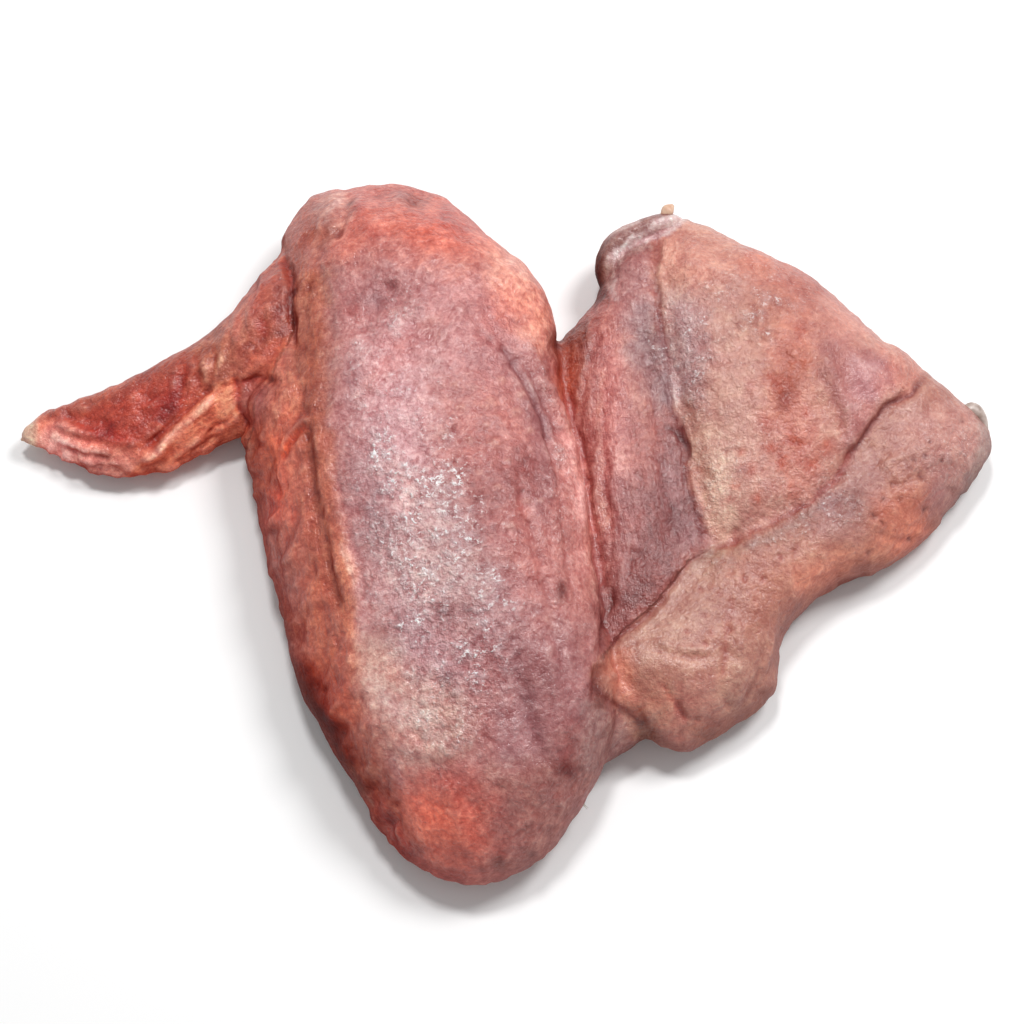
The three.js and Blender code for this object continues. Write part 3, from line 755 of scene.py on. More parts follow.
AREAS = [
    # forearm
    (MAUVE, 0.65, 34, [(345, 280), (420, 255), (480, 280), (520, 340), (545, 430), (500, 470), (400, 440), (345, 370)]),
    (LILAC, 0.85, 36, [(348, 380), (430, 370), (520, 470), (522, 600), (490, 680), (410, 700), (352, 560)]),
    (SALMON, 0.70, 26, [(430, 385), (530, 385), (556, 470), (556, 600), (530, 610), (505, 540), (440, 470)]),
    (SALMON, 0.80, 16, [(545, 360), (575, 430), (598, 540), (603, 640), (588, 690), (567, 600), (550, 480)]),
    (PEACH, 0.95, 14, [(478, 232), (530, 245), (560, 300), (562, 350), (540, 352), (512, 322), (488, 288)]),
    (ORANGE_RED, 0.85, 26, [(300, 160), (440, 160), (520, 230), (488, 266), (440, 268), (380, 244), (322, 262), (292, 240)]),
    (SALMON, 0.60, 10, [(300, 180), (440, 180), (452, 200), (400, 204), (350, 200), (318, 216), (296, 236)]),
    (CREAM, 0.60, 7, [(320, 196), (346, 190), (354, 204), (340, 226), (324, 248), (308, 260), (304, 238)]),
    (TAN, 0.55, 9, [(290, 210), (312, 200), (316, 232), (300, 262), (330, 268), (330, 300), (292, 296)]),
    (PURPLE, 0.40, 16, [(372, 270), (400, 276), (372, 344), (352, 340)]),
    (LILAC, 0.55, 12, [(336, 350), (372, 330), (410, 300), (420, 320), (384, 356), (350, 400)]),
    (CREAM, 0.75, 26, [(350, 650), (385, 635), (412, 660), (456, 690), (470, 730), (446, 766), (405, 760), (380, 735), (360, 704)]),
    # white streaks on the pale lower crown, partly a painted wet sheen
    (WHITE, 0.40, 14, [(372, 676), (400, 690), (436, 716), (448, 746), (420, 752), (392, 724)]),
    (PALE, 0.35, 10, [(386, 660), (408, 676), (412, 700), (392, 696)]),
    (RED, 0.22, 22, [(440, 420), (530, 430), (560, 520), (556, 600), (520, 580), (470, 500)]),
    # whitish middle of the crown: a painted sheen
    (WHITE, 0.25, 24, [(400, 480), (460, 500), (500, 580), (480, 650), (430, 640), (396, 570)]),
    (PLUM, 0.22, 16, [(372, 470), (400, 520), (420, 600), (400, 640), (372, 580), (358, 510)]),
    (PURPLE, 0.55, 24, [(500, 636), (590, 620), (604, 690), (572, 792), (530, 790), (505, 720)]),
    (LILAC, 0.50, 12, [(500, 700), (530, 700), (540, 760), (510, 770), (492, 740)]),
    (ELBOW_GREY, 0.75, 20, [(486, 772), (590, 745), (578, 815), (545, 870), (505, 880), (492, 830)]),
    (SALMON, 0.60, 26, [(384, 800), (410, 770), (450, 786), (500, 800), (536, 830), (520, 890), (440, 895), (390, 850)]),
    (ELBOW_RED, 0.60, 28, [(390, 824), (402, 786), (430, 792), (456, 772), (488, 796), (504, 850), (470, 890), (420, 880), (392, 850)]),
    (RED, 0.30, 12, [(436, 772), (460, 762), (480, 768), (474, 796), (452, 800), (430, 792)]),
    (ORANGE_RED, 0.60, 18, [(396, 790), (450, 798), (466, 832), (440, 862), (398, 846)]),
    (PURPLE, 0.30, 16, [(492, 790), (520, 796), (526, 850), (500, 870), (488, 830)]),
    (PURPLE, 0.50, 16, [(522, 380), (545, 400), (556, 470), (545, 520), (530, 470)]),
    (PLUM, 0.30, 18, [(468, 470), (500, 450), (540, 455), (545, 490), (510, 510), (480, 520)]),
    # front edge
    (BAND, 0.92, 17, [(286, 262), (314, 262), (322, 330), (320, 400), (328, 462), (338, 516), (351, 580), (350, 640),
                      (358, 700), (380, 760), (402, 820), (400, 880), (210, 480), (245, 425), (285, 360), (290, 310)]),
    (OLIVE, 0.50, 18, [(296, 270), (320, 270), (330, 320), (332, 380), (322, 430), (306, 420), (296, 350)]),
    (MAUVE, 0.40, 8, [(262, 520), (286, 520), (300, 600), (318, 650), (300, 656), (276, 590)]),
    (TAN_LIGHT, 0.50, 10, [(300, 560), (330, 580), (344, 650), (330, 690), (306, 640)]),
    (PURPLE, 0.35, 8, [(322, 600), (340, 610), (352, 680), (338, 690)]),
    (PALE, 0.40, 12, [(352, 640), (372, 640), (378, 700), (392, 744), (372, 740), (354, 700)]),
    (PALE, 0.45, 6, [(292, 252), (306, 256), (304, 290), (312, 312), (300, 338), (292, 310)]),
    (PALE, 0.35, 7, [(286, 344), (300, 352), (302, 392), (294, 412), (284, 392)]),
    (OLIVE, 0.45, 9, [(308, 420), (324, 425), (334, 490), (345, 560), (352, 620), (342, 630), (330, 580), (316, 520), (308, 470)]),
    (TAN_LIGHT, 0.75, 6, [(318, 436), (332, 440), (342, 500), (354, 570), (352, 640), (334, 620), (326, 540), (318, 480)]),
    (MAUVE, 0.45, 6, [(334, 470), (344, 480), (358, 545), (372, 610), (364, 618), (350, 560), (338, 520)]),
    (ORANGE_RED, 0.50, 10, [(262, 404), (296, 380), (304, 420), (284, 450), (262, 460)]),
    (SALMON, 0.55, 10, [(272, 470), (304, 452), (312, 520), (306, 600), (286, 600), (272, 540)]),
    (ORANGE, 0.28, 14, [(320, 655), (350, 650), (352, 700), (330, 705), (314, 690)]),
    (EDGE_BROWN, 0.60, 12, [(296, 660), (318, 690), (340, 740), (320, 750), (290, 700)]),
    (ELBOW_GREY, 0.60, 14, [(338, 722), (384, 716), (404, 790), (388, 824), (348, 780)]),
    # hand and tip
    (KNEE, 0.95, 4, [(0, 380), (100, 350), (200, 300), (285, 230), (294, 262), (293, 300), (288, 345), (262, 400), (250, 444),
                     (232, 490), (120, 520), (0, 480)]),
    (TIP_RED, 0.90, 9, [(52, 408), (110, 386), (160, 364), (200, 343), (216, 390), (182, 425), (150, 447), (90, 440), (55, 430)]),
    (RED, 0.40, 9, [(148, 392), (178, 374), (190, 398), (168, 426), (146, 424)]),
    (BROWN, 0.35, 5, [(60, 400), (110, 384), (160, 362), (205, 338), (208, 348), (160, 376), (110, 396), (64, 412)]),
    (TIP_PINK, 0.90, 6, [(10, 440), (34, 410), (60, 422), (84, 434), (110, 443), (152, 450), (120, 492), (70, 480), (30, 450)]),
    (RIM_TONE, 0.98, 4, [(218, 384), (183, 422), (154, 449), (118, 482), (160, 490), (195, 484), (212, 468), (230, 466),
                         (249, 430), (240, 380)]),
    (ORANGE_RED, 0.85, 6, [(242, 376), (252, 352), (271, 334), (289, 345), (286, 374), (276, 386), (256, 376)]),
    (PURPLE, 0.70, 6, [(276, 270), (290, 276), (290, 312), (285, 335), (275, 330), (272, 300)]),
    (MAUVE, 0.60, 8, [(240, 386), (262, 380), (276, 392), (270, 420), (250, 430)]),
    (OLIVE, 0.50, 9, [(190, 348), (224, 318), (232, 350), (226, 392), (205, 398), (190, 385)]),
    (SALMON, 0.60, 9, [(236, 300), (262, 270), (278, 262), (268, 312), (250, 330), (240, 340)]),
    # web of skin
    (SALMON, 0.60, 4, [(550, 330), (600, 270), (612, 262), (630, 246), (657, 240), (657, 280), (664, 320), (670, 370), (676, 415),
                       (688, 455), (700, 500), (712, 545), (690, 562), (655, 604), (620, 636), (603, 662), (600, 600), (590, 520),
                       (578, 455), (565, 395)]),
    (BROWN, 0.80, 9, [(548, 335), (580, 318), (590, 316), (586, 350), (576, 400), (572, 424), (562, 390)]),
    (LILAC, 0.70, 12, [(612, 266), (650, 244), (656, 290), (644, 330), (612, 320)]),
    (PINK, 0.75, 14, [(596, 340), (626, 350), (636, 470), (625, 500), (602, 480), (594, 400)]),
    (GREY_BLUE, 0.75, 16, [(634, 306), (660, 300), (670, 380), (674, 412), (655, 405), (630, 350)]),
    (PURPLE, 0.70, 10, [(660, 420), (686, 446), (702, 510), (706, 548), (680, 545), (656, 480)]),
    (PURPLE, 0.60, 20, [(600, 480), (664, 470), (690, 530), (660, 590), (620, 625), (604, 640), (598, 560)]),
    (PLUM, 0.30, 10, [(650, 500), (690, 500), (700, 540), (664, 580), (648, 560)]),
    (ELBOW_GREY, 0.75, 12, [(590, 690), (640, 715), (655, 745), (600, 800), (575, 790), (584, 730)]),
    (GREY, 0.45, 10, [(575, 700), (612, 706), (628, 740), (592, 780), (574, 760)]),
    # breast skin
    (PALE, 0.95, 4, [(657, 235), (690, 200), (800, 235), (945, 365), (915, 391), (887, 406), (859, 446), (833, 481),
                     (793, 512), (760, 530), (715, 548), (700, 500), (688, 455), (676, 415), (670, 370), (664, 320), (657, 280)]),
    (CREAM, 0.55, 22, [(690, 300), (730, 290), (764, 360), (756, 440), (740, 530), (705, 500), (696, 440), (680, 380)]),
    (PEACH, 0.55, 14, [(662, 235), (720, 232), (770, 262), (710, 284), (662, 276)]),
    (LILAC, 0.60, 14, [(670, 300), (704, 292), (712, 350), (700, 400), (676, 400)]),
    (PEACH, 0.70, 18, [(750, 245), (810, 262), (870, 320), (830, 340), (800, 400), (776, 390), (760, 310)]),
    (SALMON, 0.45, 10, [(770, 245), (820, 268), (880, 330), (830, 336), (790, 310)]),
    (ORANGE_RED, 0.35, 14, [(776, 290), (800, 300), (806, 400), (826, 470), (800, 500), (770, 440)]),
    (MAUVE, 0.70, 10, [(815, 335), (845, 330), (905, 372), (885, 400), (860, 440), (846, 452), (842, 410), (826, 380)]),
    (LILAC, 0.70, 9, [(852, 350), (882, 360), (876, 404), (850, 410), (846, 380)]),
    (ORANGE_RED, 0.40, 8, [(880, 345), (935, 380), (915, 390), (896, 388)]),
    (TAN, 0.45, 10, [(766, 366), (812, 352), (806, 392), (776, 398)]),
    # flap
    (FLAP_SKIN, 0.95, 4, [(930, 360), (1020, 410), (1010, 480), (900, 610), (800, 650), (770, 740), (680, 790), (640, 740),
                          (588, 675), (620, 632), (655, 602), (690, 560), (718, 545), (760, 530), (793, 512), (833, 481),
                          (859, 446), (887, 406), (915, 391)]),
    (FLAP_PINK, 0.70, 14, [(905, 400), (985, 410), (995, 470), (940, 520), (925, 470), (880, 450)]),
    (FLAP_SALMON, 0.70, 14, [(868, 490), (935, 480), (938, 530), (905, 560), (866, 542)]),
    (LILAC, 0.45, 14, [(838, 470), (872, 450), (880, 480), (850, 540), (815, 545), (812, 505)]),
    (FLAP_SALMON, 0.40, 20, [(740, 560), (840, 540), (850, 590), (790, 620), (740, 640)]),
    (CREAM, 0.60, 14, [(630, 632), (690, 570), (720, 555), (716, 620), (670, 655), (630, 660)]),
    (PALE, 0.50, 16, [(650, 650), (720, 640), (770, 640), (740, 700), (690, 700)]),
    (ORANGE_RED, 0.50, 7, [(598, 668), (612, 650), (634, 652), (638, 684), (648, 712), (622, 700)]),
    (SALMON, 0.60, 10, [(676, 680), (720, 664), (730, 730), (690, 756), (664, 735)]),
    (TAN, 0.45, 8, [(696, 722), (740, 716), (776, 680), (780, 700), (740, 745), (700, 755)]),
    (CREAM, 0.35, 6, [(735, 655), (748, 655), (744, 706), (734, 714)]),
    (GREY, 0.80, 6, [(968, 396), (1000, 395), (1010, 470), (956, 500), (966, 466), (980, 440)]),
    # cut shoulder joint: dark roll of muscle, white membrane inside it
    (MUSCLE, 0.95, 4, [(588, 300), (588, 258), (604, 234), (630, 210), (666, 198), (716, 204), (770, 236), (742, 240), (700, 226),
                       (672, 222), (644, 233), (622, 248), (612, 264), (608, 292)]),
    (DEEP_RED, 0.80, 3, [(592, 302), (596, 272), (604, 264), (607, 280), (608, 300)]),
    (FILM, 0.95, 2.5, [(609, 294), (608, 266), (618, 248), (640, 234), (660, 223), (684, 212), (696, 221), (678, 235), (654, 244),
                       (634, 255), (622, 272), (616, 298)]),
    (MUSCLE, 0.45, 3, [(618, 262), (634, 246), (650, 240), (652, 244), (638, 252), (624, 266)]),
]
for color, strength, feather, shape in AREAS:
    dab(color, P.area(shape, feather), strength)

LINES = [
    (BROWN, 0.40, 7, [(300, 400), (309, 450), (312, 480), (320, 530), (332, 580), (346, 630)]),
    (PALE, 0.25, 2.6, [(326, 440), (333, 480), (340, 515), (350, 560), (357, 600)]),
    (PALE, 0.25, 2.4, [(315, 505), (319, 525), (322, 550), (326, 580)]),
    # painted highlight along the crisp ridge
    (WHITE, 0.40, 1.6, [(340, 540), (345, 556), (350, 572), (355, 588)]),
    (PALE, 0.30, 3.0, [(300, 300), (306, 322), (303, 346)]),
    (PALE, 0.30, 2.6, [(312, 290), (317, 306), (314, 326)]),
    (SALMON, 0.35, 5.0, [(322, 300), (330, 330), (332, 372), (326, 404)]),
    (ORANGE, 0.55, 3.8, [(308, 422), (299, 432), (290, 444), (281, 460)]),
    (RED, 0.40, 6, [(276, 488), (272, 510), (268, 530)]),
    (RED, 0.35, 5, [(300, 500), (292, 530), (284, 560)]),
    (PALE, 0.40, 3, [(288, 392), (280, 408), (272, 428)]),
    (PALE, 0.35, 3, [(300, 458), (290, 484), (282, 506)]),
    (DEEP_RED, 0.60, 6, [(306, 676), (320, 712), (336, 738)]),
    (DEEP_RED, 0.80, 7, [(384, 806), (394, 832), (420, 862)]),
    (RED, 0.60, 8, [(372, 790), (390, 828), (428, 868), (480, 882)]),
    (EDGE_BROWN, 0.45, 8, [(244, 480), (258, 540), (276, 610), (296, 670), (326, 736), (362, 806), (392, 850)]),
    (GREY, 0.60, 3.0, [(338, 742), (350, 768), (364, 792), (378, 812)]),
    (WHITE, 0.50, 3, [(344, 194), (336, 208), (322, 226), (312, 246)]),
    (BROWN, 0.45, 4, [(336, 230), (326, 240), (318, 252)]),
    (RED, 0.45, 9, [(372, 194), (400, 193), (430, 197)]),
    (RED, 0.50, 10, [(438, 206), (452, 222), (470, 232)]),
    (RED, 0.40, 6, [(360, 205), (366, 226), (380, 240)]),
    (PLUM, 0.20, 3.4, [(460, 297), (467, 313), (478, 326), (493, 340)]),
    (PLUM, 0.45, 3.4, [(493, 340), (507, 353), (518, 371), (529, 393), (541, 416), (550, 440)]),
    (PURPLE, 0.45, 8, [(500, 342), (514, 362), (528, 384), (542, 420), (550, 450)]),
    (PLUM, 0.25, 3.0, [(509, 349), (525, 364), (538, 389), (550, 416)]),
    (RED, 0.25, 5, [(553, 345), (560, 380), (570, 415), (580, 455), (592, 520), (600, 580)]),
    (PEACH, 0.35, 6, [(554, 370), (565, 410), (577, 450), (587, 500), (594, 550), (597, 600)]),
    (DEEP_RED, 0.60, 2.6, [(613, 585), (612, 600), (605, 620), (602, 650)]),
    (PURPLE, 0.35, 10, [(514, 640), (524, 690), (538, 730), (552, 770)]),
    (RED, 0.35, 8, [(253, 318), (258, 300), (268, 272)]),
    (DEEP_RED, 0.75, 3.2, [(290, 284), (289, 304), (288, 326)]),
    (RED, 0.55, 4, [(265, 318), (260, 328), (268, 334)]),
    # painted highlight on the knee bump
    (PALE, 0.55, 5, [(208, 360), (205, 372), (203, 384)]),
    (PALE, 0.50, 3, [(222, 352), (218, 368), (216, 380)]),
    (PALE, 0.50, 3, [(236, 306), (231, 330), (229, 350)]),
    (PALE, 0.50, 3, [(248, 300), (246, 325), (244, 346)]),
    (BLOOD, 0.90, 4, [(176, 388), (170, 402), (160, 412)]),
    (BLOOD, 0.80, 5, [(174, 410), (162, 416), (158, 424)]),
    (BLOOD, 0.85, 3.6, [(108, 416), (109, 428), (102, 436), (90, 437)]),
    (RED, 0.55, 5, [(92, 454), (102, 456), (114, 453)]),
    (PALE, 0.55, 2.6, [(156, 448), (176, 428), (190, 412), (209, 398)]),
    (RED, 0.70, 3.0, [(236, 376), (239, 398), (243, 418), (250, 428)]),
    (RED, 0.90, 3.2, [(239, 383), (249, 381), (258, 377)]),
    (DEEP_RED, 0.70, 3.0, [(268, 379), (274, 381), (278, 381)]),
    (PALE, 0.50, 3, [(56, 440), (85, 450), (112, 456)]),
    (SALMON, 0.50, 3, [(51, 424), (80, 433), (110, 440)]),
    (BROWN, 0.35, 3.6, [(592, 330), (584, 362), (579, 392), (578, 425)]),
    (PURPLE, 0.28, 3.0, BACK_GROOVE),
    (PALE, 0.40, 3.0, [(604, 360), (600, 400), (600, 440), (604, 480)]),
    (PALE, 0.35, 4.0, [(596, 480), (604, 506), (610, 530)]),
    (RED, 0.25, 3.0, [(608, 380), (606, 430), (608, 480), (612, 540)]),
    (PLUM, 0.22, 3.0, [(x - 4, y) for x, y in SEAM]),
    (PLUM, 0.70, 3.0, [(664, 424), (671, 428), (679, 435), (687, 447), (691, 463)]),
    (DEEP_RED, 0.50, 2.4, [(659, 258), (657, 279), (661, 297), (662, 312)]),
    # painted glossy highlight along the edge of the breast skin
    (WHITE, 0.26, 3.6, [(665, 318), (669, 340), (674, 362), (674, 396), (680, 414), (690, 440)]),
    (GREY_BLUE, 0.45, 6, [(662, 322), (664, 350), (668, 380), (668, 410)]),
    (RED, 0.70, 3.0, [(768, 372), (774, 380), (779, 390)]),
    (RED, 0.60, 1.8, [(781, 439), (797, 442), (813, 443)]),
    (PLUM, 0.45, 2.4, CREASE[:8]),
    (RED, 0.40, 3.0, CREASE[6:13]),
    (RED, 0.25, 3.0, CREASE[11:]),
    (GREY, 0.45, 4, [(830, 496), (812, 512), (788, 528), (756, 544), (728, 552)]),
    (GREY, 0.50, 5, [(716, 552), (704, 556), (690, 570)]),
    (RED, 0.20, 2.6, LOBE_EDGE),
    (DEEP_RED, 0.90, 4.6, [(592, 682), (600, 693), (625, 710), (648, 726)]),
    (RED, 0.30, 2.4, [(730, 588), (732, 604), (728, 620), (726, 645), (723, 681)]),
    (RED, 0.35, 2.6, [(659, 678), (667, 695), (678, 707), (689, 724)]),
    (GREY, 0.60, 4.0, [(618, 272), (628, 258), (646, 249), (658, 244)]),
    (WHITE, 0.60, 2.4, [(597, 252), (606, 240), (622, 228), (644, 220)]),
    (BROWN, 0.50, 3.4, [(690, 222), (720, 230), (750, 243), (780, 256)]),
]
for color, strength, width, line in LINES:
    dab(color, F.stroke(line, width), strength, 0.6)

DOTS = [
    (RED, 0.55, [((278, 507), (7, 14)), ((360, 208), (8, 6)), ((100, 424), (8, 6)), ((785, 380), (10, 8)), ((444, 218), (10, 8))]),
    (BROWN, 0.55, [((415, 200), (16, 7)), ((316, 210), (9, 9)), ((330, 228), (7, 6))]),
    (DEEP_RED, 0.45, [((527, 469), (12, 12)), ((480, 496), (9, 7)), ((500, 862), (8, 9)), ((352, 206), (6, 5)), ((300, 506), (4, 10))]),
    (PLUM, 0.60, [((449, 610), (10, 8)), ((449, 676), (7, 6)), ((528, 697), (7, 10)), ((376, 300), (9, 8)), ((468, 610), (6, 5))]),
    (DEEP_RED, 0.85, [((562, 592), (3.5, 8)), ((568, 769), (9, 6)), ((168, 410), (8, 7))]),
    (RED, 0.40, [((790, 430), (8, 14)), ((798, 460), (10, 8)), ((812, 466), (9, 10)), ((783, 462), (6, 14)), ((770, 448), (9, 5)),
                 ((795, 496), (10, 7)), ((829, 449), (10, 8)), ((762, 420), (8, 10)), ((758, 500), (10, 6)), ((742, 470), (7, 5)),
                 ((812, 430), (7, 9)), ((728, 500), (8, 4)), ((752, 388), (6, 8)), ((700, 470), (5, 6))]),
    (RUST, 0.80, [((785, 388), (11, 18)), ((802, 364), (12, 9)), ((771, 378), (7, 7))]),
    (RUST_DARK, 0.90, [((785, 401), (6, 8))]),
    (RUST, 0.45, [((797, 440), (8, 8)), ((812, 466), (6, 8)), ((783, 462), (4, 9)), ((770, 448), (8, 5)), ((790, 350), (6, 10))]),
    (ORANGE, 0.55, [((797, 440), (8, 8)), ((812, 466), (6, 8)), ((783, 462), (4, 9)), ((770, 448), (8, 5)), ((768, 424), (6, 8)),
                    ((752, 470), (5, 7)), ((735, 486), (5, 4)), ((790, 486), (5, 8)), ((826, 446), (7, 6)), ((806, 412), (5, 6)),
                    ((742, 452), (4, 4)), ((758, 498), (4, 7)), ((800, 330), (5, 12))]),
    (LILAC, 0.55, [((938, 495), (10, 18)), ((828, 505), (10, 14)), ((690, 540), (14, 10))]),
    (OLIVE, 0.45, [((887, 563), (20, 6)), ((645, 732), (12, 8)), ((710, 734), (16, 8))]),
    (WHITE, 0.60, [((27, 437), (9, 4)), ((664, 228), (9, 5)), ((676, 224), (8, 4))]),
    (MAUVE, 0.60, [((256, 402), (14, 18))]),
    (GREY, 0.50, [((248, 454), (4, 18))]),
]
for color, strength, dots in DOTS:
    for at, r in dots:
        dab(color, F.spot(at, r), strength, 0.8)
for at, r in FOLLICLES:
    dab(MAUVE, F.ring(at, (r * 1.15, r * 0.85), 2.2), 0.35, 0.3)
    dab(PALE, F.spot(at, (r * 0.9, r * 0.6)), 0.55, 0.3)
for at, r in PITS:
    dab(RED, F.spot(at, r * 0.7), 0.40, 0.3)
for at, r in PORES:
    dab(DEEP_RED, M.spot(at, r), 0.90, 0)

# mottling in the skin's own colour, then painted light: painted shade makes creases darker and redder, a painted
# highlight makes crests paler, and painted shade makes sides and edges darker and browner
lively = 0.30 + 0.70 * np.clip(FOREARM + HAND + 0.7 * WEB, 0, 1)      # the skin of the breast and the flap is more even
dab(RED, ramp(blotch, 0.15, 0.85), 0.32 * lively, 0)
dab(PURPLE, ramp(blotch3, 0.20, 0.90) * FOREARM, 0.36, 0)
dab(CREAM, ramp(-blotch, 0.20, 0.90), 0.26 * lively, 0)
dab(RED, ramp(blotch2, 0.35, 0.9), 0.26 * lively, 0)
dab(WHITE, ramp(-blotch2, 0.25, 0.95) * crown, 0.26, 0)
dab(PLUM, ramp(fractal(V, 5, 3, 77), 0.40, 0.95) * crown, 0.36, 0)
streak2 = fractal(strand * 0.55 + 0.5 * np.stack([noise(V, 12, 94), noise(V, 12, 95), 0 * run], -1), 3.0, 3, 91)
sinew = np.clip(FRONT_EDGE + HAND * (1 - RIM) + 0.5 * RIM, 0, 1)
dab(TAN_LIGHT, ramp(streak2, 0.10, 0.75) * sinew, 0.45, 0)
dab(PALE, ramp(streak2, 0.40, 0.95) * sinew, 0.40, 0)
dab(EDGE_BROWN, ramp(-streak2, 0.20, 0.90) * sinew, 0.42, 0)
dab(RED, ramp(-streak2, 0.15, 0.90) * (WEB + 0.5 * ELBOW), 0.22, 0)
dab(CREAM, ramp(streak2, 0.25, 0.95) * (WEB + 0.6 * ELBOW), 0.25, 0)
dab(FLAP_SALMON, ramp(blotch2, 0.1, 0.9) * SHOULDER, 0.30, 0)
dab(ORANGE, ramp(fractal(V, 3.5, 2, 78), 0.55, 1.0) * SHOULDER, 0.35, 0)
paint = paint * (1 + 0.13 * blotch2[:, None] * np.array([0.5, 1.2, 1.1]))
paint = paint * (1 + 0.07 * fleck[:, None] * np.array([0.5, 1.2, 1.1]))
paint = paint * (1 + (streak * (0.14 * FRONT_EDGE + 0.14 * WEB + 0.14 * HAND + 0.04))[:, None] * np.array([0.6, 1.3, 1.2]))
# painted shade in creases and a painted highlight on crests, by how far each point lies below or above the smoothed
# surface
fine = web.smooth(V2, 14)
hollow = np.einsum("ij,ij->i", fine - V2, N2)
dark = ramp(hollow, 0.03, 0.42)
light = ramp(-hollow, 0.03, 0.40)
paint = paint * (1 - dark[:, None] * np.array([0.20, 0.42, 0.40]))
paint = paint + (WHITE - paint) * (light * 0.20)[:, None]
paint = paint * (1 + 0.15 * (lively * fractal(V, 3.6, 3, 79))[:, None] * np.array([0.8, 1.2, 1.1]))
paint = paint * (1 + 0.14 * ((0.4 + 0.6 * lively) * fractal(V, 7, 3, 80))[:, None] * np.array([0.9, 1.1, 1.0]))
# painted shade on the low sides that face down and on edges that turn down, strongest on the left half
low = ramp(-V2[:, 2], -14, -3) * ramp(-N2[:, 2], -0.75, 0.0)
paint = paint * (1 - low[:, None] * np.array([0.28, 0.40, 0.42]))
turned = ramp(-N2[:, 2], -0.84, -0.20) * (0.65 + 0.35 * R.area([(0, 100), (420, 100), (420, 900), (0, 900)], 30))
paint = paint * (1 - turned[:, None] * np.array([0.34, 0.62, 0.64]))
